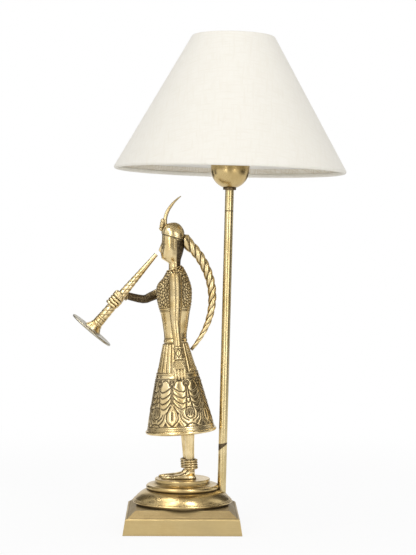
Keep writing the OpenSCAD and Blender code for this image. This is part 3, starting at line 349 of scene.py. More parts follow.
def metalMaterial(name, finish):
    material, tree, shader = newMaterial(name)
    ageAndPaintedShade = useAgeingAndPaintedShade(tree, finish["blotch"], 700.0, finish["reach"])
    where = objectCoords(tree)
    lines = useGroup(tree, streaks, Vector=where, Across=finish["across"], Along=finish["along"])["Streaks"]
    # Each piece's own dark marks: chased lines and patterns, and painted shade
    chased = node(tree, "ShaderNodeAttribute", attribute_name="chased").outputs["Fac"]
    lightShare = mathNode(tree, "ADD", times(tree, ageAndPaintedShade["Blotches"], 0.75), times(tree, lines, finish["streak"]), True)
    metal = mixColour(tree, lightShare, finish["deep"], finish["light"])
    # Darkness from hollows, patina and painted shade, and from each piece's own dark marks, which hold painted shade
    # too
    dirtAndPaintedShade = larger(tree, times(tree, ageAndPaintedShade["Hollows"], finish["hollows"]), chased, True)
    if name in extraDark:
        parts = node(tree, "ShaderNodeSeparateXYZ", {0: where}).outputs
        dirtAndPaintedShade = larger(tree, dirtAndPaintedShade, extraDark[name](tree, *parts))
    dirtAndPaintedShade = times(tree, dirtAndPaintedShade, ramp(tree, ageAndPaintedShade["Specks"], 0.0, 1.0, 1.0, 0.82), True)
    rough = ramp(tree, ageAndPaintedShade["Blotches"], 0.0, 1.0, finish["rough"], finish["smooth"])
    for label, value in (("Base Color", mixColour(tree, dirtAndPaintedShade, metal, finish["dark"])),
                         ("Roughness", mathNode(tree, "ADD", rough, times(tree, dirtAndPaintedShade, 0.25))),
                         ("Metallic", ramp(tree, dirtAndPaintedShade, 0.0, 1.0, 1.0, 0.8))):
        tree.links.new(value, shader.inputs[label])
    bump(tree, shader, mathNode(tree, "ADD", times(tree, ageAndPaintedShade["Specks"], 0.5), lines), 0.25, 0.06 * mm)
    return material


plainFinishes = {
    "blackPlastic": {"colour": (0.03, 0.03, 0.03), "worn": (0.06, 0.06, 0.06), "rough": 0.34, "grain": 900.0},
    "ceramic": {"colour": (0.86, 0.84, 0.78), "worn": (0.8, 0.77, 0.7), "rough": 0.24, "grain": 300.0},
    "whiteWire": {"colour": (0.84, 0.83, 0.79), "worn": (0.76, 0.75, 0.71), "rough": 0.42, "grain": 1500.0}}


def plainMaterial(name, finish):
    material, tree, shader = newMaterial(name)
    ageAndPaintedShade = useAgeingAndPaintedShade(tree, 50.0, finish["grain"], 0.003)
    tree.links.new(mixColour(tree, ageAndPaintedShade["Blotches"], finish["colour"], finish["worn"]), shader.inputs["Base Color"])
    tree.links.new(ramp(tree, ageAndPaintedShade["Specks"], 0.0, 1.0, finish["rough"], finish["rough"] + 0.12),
                   shader.inputs["Roughness"])
    bump(tree, shader, ageAndPaintedShade["Specks"], 0.15, 0.05 * mm)
    return material


clothFinishes = {
    "shadeFabric": {"colour": (0.885, 0.855, 0.78), "slub": (0.84, 0.8, 0.71), "threads": 1500.0, "slubs": 55.0,
                    "rough": 0.85, "height": 0.08},
    "shadeLining": {"colour": (0.9, 0.885, 0.85), "slub": (0.87, 0.85, 0.81), "threads": 500.0, "slubs": 20.0,
                    "rough": 0.6, "height": 0.02},
    "cottonTape": {"colour": (0.85, 0.81, 0.72), "slub": (0.6, 0.5, 0.35), "threads": 1600.0, "slubs": 90.0,
                   "rough": 0.9, "height": 0.1}}


def clothMaterial(name, finish):
    material, tree, shader = newMaterial(name, Roughness=finish["rough"], Sheen_Weight=0.25, Specular_IOR_Level=0.25)
    where = node(tree, "ShaderNodeUVMap", uv_map="cloth").outputs["UV"]
    cloth = useGroup(tree, weave, Vector=where, Threads=finish["threads"], Slubs=finish["slubs"])
    tree.links.new(mixColour(tree, times(tree, cloth["Slub Mask"], 0.7), finish["colour"], finish["slub"]),
                   shader.inputs["Base Color"])
    bump(tree, shader, cloth["Height"], 0.6, finish["height"] * mm)
    return material


def feltMaterial():
    material, tree, shader = newMaterial("felt", Roughness=0.95, Sheen_Weight=0.4)
    specks = useAgeingAndPaintedShade(tree, 90.0, 1800.0, 0.002)["Specks"]
    tree.links.new(mixColour(tree, specks, (0.03, 0.1, 0.065), (0.08, 0.18, 0.13)), shader.inputs["Base Color"])
    bump(tree, shader, specks, 0.8, 0.3 * mm)
    return material


def opalMaterial():
    material, tree, shader = newMaterial("opalGlass", Roughness=0.12, Subsurface_Weight=0.2,
                                         Subsurface_Scale=4 * mm)
    blotches = useAgeingAndPaintedShade(tree, 20.0, 300.0, 0.002)["Blotches"]
    tree.links.new(mixColour(tree, blotches, (0.9, 0.89, 0.86), (0.86, 0.85, 0.81)), shader.inputs["Base Color"])
    return material


looks = {name: metalMaterial(name, dict(zip(brassColumns, row))) for name, row in brassRows.items()}
looks.update({name: plainMaterial(name, finish) for name, finish in plainFinishes.items()})
looks.update({name: clothMaterial(name, finish) for name, finish in clothFinishes.items()})
looks["felt"] = feltMaterial()
looks["opalGlass"] = opalMaterial()
print("materials made:", len(looks))

# A slot's look has its name in camel case. These nodes have a look of their own
nodeLooks = {"pole_tube": "poleBrass", "neck_tube": "poleBrass", "square_base": "footBrass"}
nodeSlots = {part["node"]: part["material_slot"] for part in frame["record"]["subparts"]}


def setLook(obj, slot, name=None):
    first, *rest = slot.split("_")
    obj.data.materials.clear()
    obj.data.materials.append(looks[nodeLooks.get(name, first + "".join(word.capitalize() for word in rest))])


for name, obj in frame["nodes"].items():
    setLook(obj, nodeSlots[name], name)


# helpers for finished pieces

# How dark each point is, for the metal's dirt and painted shade
def setDark(mesh, dark):
    layer = mesh.attributes.get("chased") or mesh.attributes.new("chased", "FLOAT", "POINT")
    dark = np.broadcast_to(np.ravel(dark), len(mesh.vertices))
    layer.data.foreach_set("value", np.clip(dark, 0, 1).astype(np.float32))


# A closed skin over rows of points
def skin(name, rows, dark=0):
    count, around = rows.shape[:2]
    k, i = np.meshgrid(np.arange(count - 1), np.arange(around), indexing="ij")
    a, b = k * around + i, k * around + (i + 1) % around
    faces = np.stack((a, b, b + around, a + around), -1).reshape(-1, 4).tolist()
    faces += [list(range(around))[::-1], list(range((count - 1) * around, count * around))]
    obj = meshObject(name, rows.reshape(-1, 3), faces)
    obj.data.shade_smooth()
    setDark(obj.data, dark)
    return obj


def settle(obj):
    depsgraph = bpy.context.evaluated_depsgraph_get()
    mesh = bpy.data.meshes.new_from_object(obj.evaluated_get(depsgraph), depsgraph=depsgraph)
    obj.modifiers.clear()
    obj.data = mesh
    return obj


def edit(mesh, step):
    work = bmesh.new()
    work.from_mesh(mesh)
    step(work)
    work.to_mesh(mesh)
    work.free()


def joinInto(obj, *others):
    def take(work):
        for other in others:
            other.data.transform(other.matrix_world)
            work.from_mesh(other.data)
            bpy.data.objects.remove(other)
    edit(obj.data, take)
    obj.data.shade_smooth()


# A small piece to repeat, stretched along its axes
def smallPiece(name, step, stretch):
    mesh = bpy.data.meshes.new(name)
    edit(mesh, step)
    mesh.transform(Matrix.Diagonal((*stretch, 1)))
    mesh.shade_smooth()
    return link(bpy.data.objects.new(name, mesh))


def mergedCopy(source):
    mesh = frame["nodes"][source].data.copy()
    mesh.materials.clear()
    edit(mesh, lambda work: bmesh.ops.remove_doubles(work, verts=work.verts, dist=0.002 * mm))
    return link(bpy.data.objects.new(source + "_finish", mesh))


# A copy of a cast node as an even fine mesh, its facets smoothed away
def castCopy(source, cell, rounds):
    obj = mergedCopy(source)
    cells = obj.modifiers.new("cells", "REMESH")
    cells.mode, cells.voxel_size, cells.use_smooth_shade = "VOXEL", cell * mm, True
    soften = obj.modifiers.new("soften", "SMOOTH")
    soften.factor, soften.iterations = 0.5, rounds
    return settle(obj)


# A copy of a turned or folded node with small rounded arrises
def turnedCopy(source, angle, width, segments):
    obj = mergedCopy(source)
    edit(obj.data, lambda work: bmesh.ops.dissolve_limit(work, angle_limit=math.radians(0.4), verts=work.verts,
                                                         edges=work.edges))
    obj.data.shade_smooth()
    if width:
        arris = obj.modifiers.new("arris", "BEVEL")
        arris.limit_method, arris.angle_limit = "ANGLE", math.radians(angle)
        arris.width, arris.segments, arris.use_clamp_overlap = width * mm, segments, True
        settle(obj)
    obj.data.set_sharp_from_angle(angle=math.radians(angle))
    obj.modifiers.new("even", "WEIGHTED_NORMAL").keep_sharp = True
    return settle(obj)


# relief(points, normals) gives how far each point moves out, in millimetres, and how dark it is
def carve(obj, relief):
    mesh = obj.data
    points, normals = np.empty((2, len(mesh.vertices) * 3))
    mesh.vertices.foreach_get("co", points)
    mesh.vertices.foreach_get("normal", normals)
    points, normals = points.reshape(-1, 3) / mm, normals.reshape(-1, 3)
    out, dark = relief(points, normals)
    mesh.vertices.foreach_set("co", ((points + normals * np.reshape(out, (-1, 1))) * mm).ravel())
    setDark(mesh, dark)
    mesh.update()
    return obj


def dress(obj, source=None, slot="cast_brass", body="lamp"):
    setLook(obj, slot, source)
    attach(obj, body)
    if source:
        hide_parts(source)
    return obj


def castPiece(source, cell, rounds, relief, slot="cast_brass"):
    return dress(carve(castCopy(source, cell, rounds), relief), source, slot)


def turnedPiece(source, angle, width, segments=3, body="lamp"):
    return dress(turnedCopy(source, angle, width, segments), source, nodeSlots[source], body)


def bell(x, width):
    return np.exp(-(x / width) ** 2)


def darkest(*shades):
    return np.max(np.broadcast_arrays(*shades), axis=0)


# Distance of points (x, y) to a polyline whose own x is stretched
def lineGap(x, y, line, stretch):
    best = np.full(x.shape, 1e9)
    for (ax, ay), (bx, by) in zip(line[:-1], line[1:]):
        ax, bx = ax * stretch, bx * stretch
        dx, dy = bx - ax, by - ay
        t = np.clip(((x - ax) * dx + (y - ay) * dy) / (dx * dx + dy * dy + 1e-9), 0, 1)
        best = np.minimum(best, np.hypot(x - ax - t * dx, y - ay - t * dy))
    return best


# Scattered seeds at least a gap apart: how far each chosen point is from its nearest seed, and how far inside
# that seed's cell, from 0 on the cell's edge to 1
def seedCells(points, chosen, gap, edge, seed):
    order = np.random.default_rng(seed).permutation(np.flatnonzero(chosen))
    free = np.ones(len(points), bool)
    seeds = []
    for index in order:
        if free[index]:
            seeds.append(points[index])
            free &= ((points - points[index]) ** 2).sum(1) > gap * gap
    tree = KDTree(len(seeds))
    for index, place in enumerate(seeds):
        tree.insert(place, index)
    tree.balance()
    near, far = np.full((2, len(points)), 1e3)
    for index in np.flatnonzero(chosen):
        found = tree.find_n(points[index], 2)
        near[index], far[index] = found[0][2], found[-1][2]
    return near, np.clip((far - near) / edge, 0, 1)


# Geometry nodes: one piece repeated on a ring, with its own x outwards

def repeatTree():
    tree = bpy.data.node_groups.new("repeat_on_ring", "GeometryNodeTree")
    for label, kind in (("Piece", "Object"), ("Count", "Int"), ("Radius", "Float"), ("Start Angle", "Float"),
                        ("Tilt", "Float"), ("Size", "Float"), ("Size Spread", "Float"), ("Seed", "Int"),
                        ("Finish", "Material")):
        tree.interface.new_socket(name=label, in_out="INPUT", socket_type="NodeSocket" + kind)
    tree.interface.new_socket(name="Geometry", in_out="OUTPUT", socket_type="NodeSocketGeometry")
    entry, leave = tree.nodes.new("NodeGroupInput").outputs, tree.nodes.new("NodeGroupOutput").inputs
    ring = node(tree, "GeometryNodeMeshCircle", {"Vertices": entry["Count"], "Radius": entry["Radius"]},
                fill_type="NONE")
    step = mathNode(tree, "DIVIDE", math.tau, entry["Count"])
    turn = times(tree, node(tree, "GeometryNodeInputIndex").outputs[0], step)
    angles = node(tree, "ShaderNodeCombineXYZ", {0: 0.0, 1: entry["Tilt"], 2: turn})
    spin = node(tree, "ShaderNodeCombineXYZ", {2: entry["Start Angle"]})
    chance = node(tree, "FunctionNodeRandomValue", {"Seed": entry["Seed"], 2: -1.0, 3: 1.0}, data_type="FLOAT")
    grown = mathNode(tree, "ADD", times(tree, chance.outputs[1], entry["Size Spread"]), 1.0)
    piece = node(tree, "GeometryNodeObjectInfo", {"Object": entry["Piece"], "As Instance": True})
    placed = node(tree, "GeometryNodeInstanceOnPoints", {
        "Points": ring.outputs["Mesh"], "Instance": piece.outputs["Geometry"], "Rotation": angles.outputs[0],
        "Scale": times(tree, entry["Size"], grown)})
    whole = node(tree, "GeometryNodeRealizeInstances", {"Geometry": placed.outputs[0]})
    turned = node(tree, "GeometryNodeTransform", {"Geometry": whole.outputs[0], "Rotation": spin.outputs[0]})
    finished = node(tree, "GeometryNodeSetMaterial", {"Geometry": turned.outputs[0], "Material": entry["Finish"]})
    tree.links.new(finished.outputs[0], leave[0])
    return tree


repeatOnRing = repeatTree()


# The ring stands at place, a 4x4 in metres
def ringOf(name, piece, place, **values):
    obj = link(bpy.data.objects.new(name, bpy.data.meshes.new(name)))
    modifier = obj.modifiers.new("repeat", "NODES")
    modifier.node_group = repeatOnRing
    values = {"Piece": piece, **{key.replace("_", " "): value for key, value in values.items()}}
    for item in repeatOnRing.interface.items_tree:
        if item.item_type == "SOCKET" and item.in_out == "INPUT" and item.name in values:
            modifier[item.identifier] = values[item.name]
    settle(obj)
    obj.data.transform(place)
    return obj


# figure: its own upright frame, and the way back to the lamp's

figureFrame = {"ankle": 7.3, "lean": 4.1, "plinthTop": 53.05, "waist": 148.8, "skirtAxis": -5.5,
               "neck": (-11.8, 0.0, 281.2), "belt": 154.0}
lean, waist = math.radians(figureFrame["lean"]), figureFrame["waist"]


def toFigure(points):
    x, z = points[..., 0] - figureFrame["ankle"], points[..., 2] - figureFrame["plinthTop"]
    return np.stack((x * math.cos(lean) + z * math.sin(lean), points[..., 1],
                     z * math.cos(lean) - x * math.sin(lean)), -1)


def toLamp(points):
    x, z = points[..., 0], points[..., 2]
    return np.stack((figureFrame["ankle"] + x * math.cos(lean) - z * math.sin(lean), points[..., 1],
                     figureFrame["plinthTop"] + x * math.sin(lean) + z * math.cos(lean)), -1)


# skirt: chased leaves between a flute band and a rolled hem

skirt = {"lift": 51.4, "hemRoll": 1.9, "hemRadius": 39.0, "waistRadius": 13.9, "fluteFoot": 116.5,
         "fluteFootRadius": 22.3, "flutes": 20, "fluteDepth": 0.95, "foldDepth": 0.16, "band": 4.3, "wall": 2.0,
         "columns": 420, "rowStep": 0.49, "repeats": 5, "firstStem": -15.0, "lineWidth": 0.46, "lineDepth": 0.5,
         "pillow": 0.42, "lugRadius": 1.75, "lugHeight": 140.3, "lugRows": (6.0, 8.6, 9.5), "tipTilt": -14.5,
         "tipTurn": -81, "tipSize": 0.92}
hemTop = skirt["lift"] + 2 * skirt["hemRoll"] - 0.4
fluteFoot = skirt["fluteFoot"]


def skirtRadius(z):
    low, high = skirt["hemRadius"] - 1.7, skirt["fluteFootRadius"] + 0.6
    lower = low + (high - low) * (z - hemTop) / (fluteFoot - hemTop)
    upper = skirt["fluteFootRadius"] + (skirt["waistRadius"] - skirt["fluteFootRadius"]) \
        * (z - fluteFoot) / (waist - fluteFoot)
    return upper if z > fluteFoot else lower


def arcLine(cx, cy, rx, ry, start, stop, steps=10):
    return [(cx + rx * math.cos(math.radians(start + (stop - start) * i / steps)),
             cy + ry * math.sin(math.radians(start + (stop - start) * i / steps))) for i in range(steps + 1)]


# Lines of one repeat in its right half: degrees from the stem, height
def leafLines():
    lines = []
    for start, low, lowAt, end, endAt in ((102.4, 97.1, 25, 98.9, 32), (96.3, 90.7, 23.5, 92.4, 30.2),
                                          (91.6, 84.6, 22, 86.0, 28), (86.4, 78.9, 19.5, 80.2, 25)):
        rib = [(2.6 + (lowAt - 2.6) * t, low + (start - low) * (1 - t) ** 1.7) for t in np.linspace(0, 1, 8)]
        lines.append(rib + [(lowAt + (endAt - lowAt) * 0.6, low + 0.35 * (end - low)), (endAt, end)])
    lines += [
        [(3, 82.2), (7.6, 77.6), (13.5, 74.2)], [(1.7, 104), (1.7, 84)],
        [(0.2, 103.4), (3.4, 105.6), (5.2, 108), (5.6, 110.2)],
        [(4.6, 103.8), (8, 107), (13, 109.4), (18.5, 109.9), (25, 109)], arcLine(0, 108.3, 3.0, 1.25, -90, 90),
        [(3.6, 82.4), (7.4, 78.6), (10.6, 74.6), (11.5, 69.6), (10, 66.6), (6.8, 64.4), (0.6, 61.2)],
        [(0.3, 76), (0.2, 67.5)], [(16.2, 73.4), (17, 70), (19, 67.2), (23, 64.8), (28, 62.6)],
        [(20, 73.2), (22, 70.4), (26, 68.3), (31, 67.2)], [(9.6, 61), (12.4, 64.6), (16, 61)],
        [(12.6, 61.2), (12.5, 62.8)], [(24.6, 60.8), (30, 63), (36, 63.8)], arcLine(36, 106.4, 7.2, 3.1, 90, 270),
        arcLine(36.6, 106.2, 4.2, 1.8, 60, 270),
        [(34.4, 102.8), (33.6, 98), (32.6, 92.5), (30.2, 85), (28, 78.5), (27.2, 74), (28.4, 71), (31, 69.8),
         (33.4, 69), (36, 68.9)], [(28.6, 80.2), (32, 81), (36, 81.2)]]
    lines += [[(34.3 - 2.2 * k, 79.4 - 0.5 * k), (33.9 - 3.6 * k, 72.2 + 0.8 * k)] for k in range(2)]
    return lines + [arcLine(36, z, 3.0, 1.5, 180, 270, 5) for z in (87.3, 92.1)]


def skirtRelief(angle, z, radius):
    fold = 360 / skirt["repeats"]
    away = np.abs((angle - skirt["firstStem"] + fold / 2) % fold - fold / 2)
    perDegree = radius * math.pi / 180
    low, high = skirt["lift"] + 8.2, fluteFoot - skirt["band"] - 0.9
    out, dark = np.zeros((2, len(z)))
    if low < z[0] < high:
        gap = np.minimum(np.abs(z - low), np.abs(z - high))
        for line in leafLines():
            gap = np.minimum(gap, lineGap(away * perDegree, z, line, perDegree))
        out = skirt["pillow"] * (1 - bell(gap, 1.5)) - skirt["lineDepth"] * bell(gap, skirt["lineWidth"])
        out += 0.35 * bell(away * perDegree, 0.7) * (z > 66)
        out += 0.45 * bell(np.hypot((away - 36) * perDegree, z - 106.4), 1.5)
        dark = np.maximum(np.clip(1.3 * bell(gap, 0.7), 0, 1), 0.3 * bell(gap - 0.5, 0.8))
    for place in (low + 0.9, low - 1.6, low - 3.5, high + 0.4, fluteFoot - 0.9):
        dark = np.maximum(dark, 0.8 * bell(z - place, 0.5))
        out -= 0.25 * bell(z - place, 0.45)
    return out, dark


def fluteRelief(angle, z):
    wave, second = (np.abs(np.sin(np.radians(angle * skirt["flutes"] / 2 + turn))) for turn in (0, 90))
    out = -skirt["fluteDepth"] * (1 - wave ** 0.55) - skirt["foldDepth"] * (1 - second ** 0.3)
    dark = np.maximum(0.95 * bell(wave, 0.15), 0.35 * bell(second, 0.08))
    return out, np.maximum(dark, max(0.9 * bell(z - fluteFoot - 1.1, 0.6), 0.7 * bell(z - waist, 1.2)))


def makeSkirt():
    count = skirt["columns"]
    theta = np.arange(count) * math.tau / count
    angle = np.degrees(theta) + 90
    rows, darks = [], []

    def addRow(radius, z, dark=0.0):
        radius = np.broadcast_to(radius, (count,))
        rows.append(np.stack((figureFrame["skirtAxis"] + radius * np.cos(theta), radius * np.sin(theta),
                              np.full(count, float(z))), 1))
        darks.append(np.broadcast_to(dark, (count,)))

    roof, inner = waist - 3, skirt["fluteDepth"] + skirt["wall"]
    addRow(0.05, roof)
    for share in (0.3, 0.6, 1):
        addRow((skirtRadius(roof) - inner) * share, roof)
    for z in (142, 132, 124, 116.5, 112, 100, 85, 70, 58, 54.8):
        addRow(skirtRadius(z) - (inner if z > 112 else skirt["wall"]), z, 0.35)
    roll = skirt["hemRoll"]
    for t in np.radians(np.linspace(-180, 75, 18)):
        addRow(skirt["hemRadius"] - roll + roll * math.cos(t), skirt["lift"] + roll + roll * math.sin(t))
    # beads round the skirt: height, size, how deep they sit
    beads = [(hemTop + 1.6, 0.75, 0.4), (hemTop + 3.6, 0.75, 0.4), (fluteFoot - skirt["band"], 0.9, 0.5),
             (fluteFoot, 0.9, 0.5)]
    for z in np.arange(hemTop + 0.3, waist, skirt["rowStep"]):
        z = min(z, waist - 0.02)
        radius = skirtRadius(z)
        for beadZ, size, sunk in beads:
            off = abs(z - beadZ)
            if off < size:
                radius = max(radius, skirtRadius(beadZ) - sunk + math.sqrt(size * size - off * off))
        if z > fluteFoot + 0.6:
            out, dark = fluteRelief(angle, z)
        else:
            out, dark = skirtRelief(angle, np.full(count, z), radius)
        addRow(radius + out, z, dark)
    for share in (0.97, 0.5, 0.004):
        addRow(skirtRadius(waist) * share - 0.01, waist)
    return skin("skirt_chased", toLamp(np.array(rows)), darks)


def leafTip():
    outline = [(0, 0), (1.1, 1.2), (1.35, 2.6), (0.8, 4.4), (0, 6.2)]
    outline += [(-y, z) for y, z in outline[-2:0:-1]]
    rows = np.array([[(lift, y * share, 3.0 + (z - 3.0) * share) for y, z in outline]
                     for share, lift in ((1.0, 0.0), (0.72, 0.55), (0.3, 0.8))])
    return skin("leaf_tip", rows)


skirtPiece, tip = makeSkirt(), leafTip()
tipPlace = Vector(toLamp(np.array([figureFrame["skirtAxis"], 0.0, fluteFoot + 1.0]))) * mm
leafRing = ringOf("flute_leaves", tip, Matrix.Translation(tipPlace) @ Matrix.Rotation(-lean, 4, "Y"),
                  Count=skirt["flutes"], Radius=(skirt["fluteFootRadius"] - 0.75) * mm, Seed=1,
                  Tilt=math.radians(skirt["tipTilt"]), Start_Angle=math.radians(skirt["tipTurn"]),
                  Size=skirt["tipSize"], Size_Spread=0.06, Finish=looks["castBrass"])
bpy.data.objects.remove(tip)
lugRing = np.array([(0, skirt["lugRadius"] * math.cos(t), skirt["lugHeight"] + skirt["lugRadius"] * math.sin(t))
                    for t in np.linspace(0, math.tau, 24, endpoint=False)])
lug = skin("braid_lug", toLamp(np.array([lugRing + (x, 0, 0) for x in skirt["lugRows"]])))
joinInto(skirtPiece, leafRing, lug)
dress(skirtPiece, "skirt")
print("skirt made:", len(skirtPiece.data.polygons), "faces")


# body: a blouse of chased curls down to a double band, smooth below it

blouse = {"cell": 0.48, "rounds": 5, "bands": (184.2, 185.7, 187.9), "curl": 2.8, "curlEdge": 1.5, "curlHeight": 0.8,
          "swirl": 5.2, "seed": 7, "seamAt": 16.0, "seamTop": 222}


def blouseRelief(points, normals):
    local = toFigure(points)
    side, z = np.abs(local[:, 1]), local[:, 2]
    low, high = blouse["bands"][0], blouse["bands"][-1]
    above = z > high + 0.4
    near, edge = seedCells(local, above, blouse["curl"], blouse["curlEdge"], blouse["seed"])
    swirl = 0.5 + 0.5 * np.cos(near * blouse["swirl"])
    out = np.where(above, blouse["curlHeight"] * (edge - 0.75) - 0.12 * swirl * edge, 0.0)
    curls = np.where(above, np.maximum(np.clip(1.5 - 1.7 * edge, 0, 1), 0.3 * swirl * (near > 0.5)), 0.0)
    out = out - sum(0.35 * bell(z - place, 0.45) for place in blouse["bands"])
    bands = [0.95 * bell(z - place, 0.42) for place in blouse["bands"]]
    # Painted shade on the body's sides beside the arms, below the shoulders
    darkBand = 0.55 * bell(side - blouse["seamAt"], 1.0) * (side > blouse["seamAt"] - 1.5) * (z < blouse["seamTop"])
    return out + np.where((z > low) & (z < high), 0.15, 0), \
        darkest(curls, *bands, 0.75 * bell(z - figureFrame["belt"] - 0.5, 1.0), darkBand)


bodyPiece = castPiece("torso", blouse["cell"], blouse["rounds"], blouseRelief)
print("body made:", len(bodyPiece.data.polygons), "faces")


# head, cap and ears: calm and plain. eye and brow: place to the side, height, half width

headLines = {"cell": 0.42, "earCell": 0.25, "rounds": 5, "eye": (5.0, 24.3, 3.0), "brow": (5.0, 28.0, 3.8),
             "lips": 16.9, "width": 0.3, "rimHeight": 36.0, "rimSlope": -0.27}


def headPlace(points):
    x, y, z = (points - np.array(figureFrame["neck"])).T
    return x, np.abs(y), z, z - headLines["rimHeight"] - headLines["rimSlope"] * x


def headRelief(points, normals):
    x, side, z, rise = headPlace(points)
    front = x < -4
    eyeAt, eyeZ, eyeHalf = headLines["eye"]
    lid = 1 - ((side - eyeAt) / eyeHalf) ** 2
    inEye = front & (lid > 0)
    gap = np.where(inEye, np.minimum(np.abs(z - eyeZ - 1.3 * lid), np.abs(z - eyeZ + 0.9 * lid)), 1e3)
    browAt, browZ, browHalf = headLines["brow"]
    bow = 1 - ((side - browAt) / browHalf) ** 2
    gap = np.minimum(gap, np.where(front & (bow > 0), np.abs(z - browZ - 0.9 * bow), 1e3))
    gap = np.minimum(gap, np.where(front & (side < 3.1), np.abs(z - headLines["lips"]), 1e3))
    iris = np.where(inEye, 0.6 * bell(np.hypot(side - eyeAt, z - eyeZ - 0.2), 0.8), 0)
    # Painted shade on the nape behind the ear, the back of the head painted darker, and dark lines at the chin and
    # under the cap's rim
    nape = np.clip((x - 2.6) / 1.8, 0, 1) * np.clip((35 - z) / 3, 0, 1)
    temple = 0.4 * np.clip((x + 1.5) / 2, 0, 1) * np.clip((z - 14) / 4, 0, 1)
    return -0.16 * bell(gap, headLines["width"]), \
        darkest(0.85 * bell(gap, 0.4), iris, nape, temple, 0.5 * bell(z - 0.8, 1.2), 0.7 * bell(rise + 0.6, 0.6))


def capRelief(points, normals):
    x, side, z, rise = headPlace(points)
    # The cap's back and crown are painted darker, with a stitched line and a dark line at the rim
    back, crown = np.clip((x - 7) / 4, 0, 1), np.clip((rise - 10.5) / 5, 0, 1)
    stitched = bell(rise - 2.1, 0.4)
    return -0.2 * stitched, darkest(0.85 * bell(rise - 0.2, 0.5), 0.45 * stitched, 0.5 * back, 0.5 * crown)


def earRelief(points, normals):
    x, side, z, rise = headPlace(points)
    gap = np.abs(np.hypot(x - 2.2, (z - 28) / 4.2) - 0.62)
    return -0.25 * bell(gap, 0.25), darkest(0.4, 0.9 * bell(gap, 0.3))


for source, cell, relief in (("head", headLines["cell"], headRelief), ("cap", headLines["cell"], capRelief),
                             ("ears", headLines["earCell"], earRelief)):
    castPiece(source, cell, headLines["rounds"], relief)
print("head, cap and ears made")


# arms, hands, legs and feet

limbs = {"cell": 0.45, "fine": 0.3, "rounds": 6, "armRings": (-28.0, -29.6, -31.2, -37.5), "shoulder": 224.9,
         "sleeve": 24, "knuckles": (123.5, 133), "knuckle": 1.7, "knuckleEdge": 0.7, "knuckleSeed": 3,
         "ankletCell": 0.24, "ankletPitch": 0.9, "plumeCell": 0.2, "thinRounds": 3}


# Bangle rings and a hammered sleeve; painted shade along the arm's face that lies against the body, the arm's back
# painted darker, and a dark line at the wrist
def nearArmRelief(points, normals):
    x, y, z = toFigure(points).T
    drop = z - limbs["shoulder"]
    rings = [bell(drop - place - 0.15 * x, 0.32) for place in limbs["armRings"]]
    stipple = np.sin(x * 3.1 + np.sin(z * 1.3)) * np.sin(z * 3.4)
    high = drop > -limbs["sleeve"]
    return np.where(high, 0.03 * stipple, 0) - 0.14 * sum(rings), \
        darkest(0.38 * darkest(*rings), 0.9 * bell(y + 16.6, 0.7), 0.4 * np.clip((x - 2.5) / 2, 0, 1),
                np.where(high, 0.3 + 0.3 * np.clip(stipple, 0, 1), 0.16), 0.85 * bell(z - waist + 2.6, 1.0))


# Painted shade on the far arm's side that faces the camera and body, lightened by painted highlight patches
def farArmRelief(points, normals):
    x, y, z = toFigure(points).T
    paintedHighlight = 0.35 * bell(x + 22, 4.5) * (z > 202) + 0.6 * bell(x + 4, 4)
    return 0, np.clip(0.75 - 1.4 * normals[:, 1], 0.25, 1) - paintedHighlight


def handRelief(points, normals):
    local = toFigure(points)
    low, high = limbs["knuckles"]
    chosen = (local[:, 2] > low) & (local[:, 2] < high)
    edge = seedCells(local, chosen, limbs["knuckle"], limbs["knuckleEdge"], limbs["knuckleSeed"])[1]
    return np.where(chosen, 0.3 * (edge - 0.8), 0), np.where(chosen, (1 - edge) * 0.9, 0)


# Painted shade between the legs, growing upwards, and under the skirt's hem
def legRelief(points, normals):
    x, y, z = toFigure(points).T
    shadeBetweenLegs = bell(y, 2.2) * np.clip((z - 20) / 20, 0, 1)
    return 0, darkest(0.7 * shadeBetweenLegs, 0.8 * np.clip((z - 47) / 6, 0, 1))


# Dark toe lines, and painted shadow where the foot meets the plinth
def footRelief(points, normals):
    x, y, z = toFigure(points).T
    height = points[:, 2] - figureFrame["plinthTop"]
    toes = np.where(x < -16, bell((y * 0.62) % 1 - 0.5, 0.16), 0)
    return -0.3 * toes * (height > 1.0), darkest(0.75 * bell(height, 0.7), 0.8 * toes)


def ankletRelief(points, normals):
    ribs = 0.5 + 0.5 * np.sin(toFigure(points)[:, 2] * math.tau / limbs["ankletPitch"])
    return 0.26 - 0.1 * ribs, 0.4 * ribs


# A darker tone all over, deepened by painted shade on the plume's back
def plumeRelief(points, normals):
    return 0, np.clip(0.3 + 0.6 * normals[:, 0], 0, 0.85)


for source, cell, rounds, relief in (
        ("left_arm", "cell", "rounds", nearArmRelief), ("right_arm", "cell", "rounds", farArmRelief),
        ("left_hand", "fine", "rounds", handRelief), ("left_leg", "cell", "rounds", legRelief),
        ("right_leg", "cell", "rounds", legRelief), ("left_foot", "fine", "rounds", footRelief),
        ("right_foot", "fine", "rounds", footRelief), ("anklets", "ankletCell", "thinRounds", ankletRelief),
        ("plume", "plumeCell", "thinRounds", plumeRelief)):
    castPiece(source, limbs[cell], limbs[rounds], relief)
print("limbs made")


# Rows of points round a line: u and v are the line's two cross axes
def ropeRows(line, radius, a, u, v):
    return line[:, None] + radius[..., None] * (np.cos(a)[:, None] * u + np.sin(a)[:, None] * v)


# braid: a rope of three twisted lobes that tapers to the lug

braid = {"root": (0.2, 0.0, 312.4), "bendA": (22.2, 0.0, 299.9), "end": (8.54, 0.0, 193.8),
         "bendB": (53.04, 0.0, 245.3), "half": 5.8, "flare": 3.3, "lobes": 3, "pitch": 9.4, "groove": 0.34,
         "steps": 380, "around": 60}


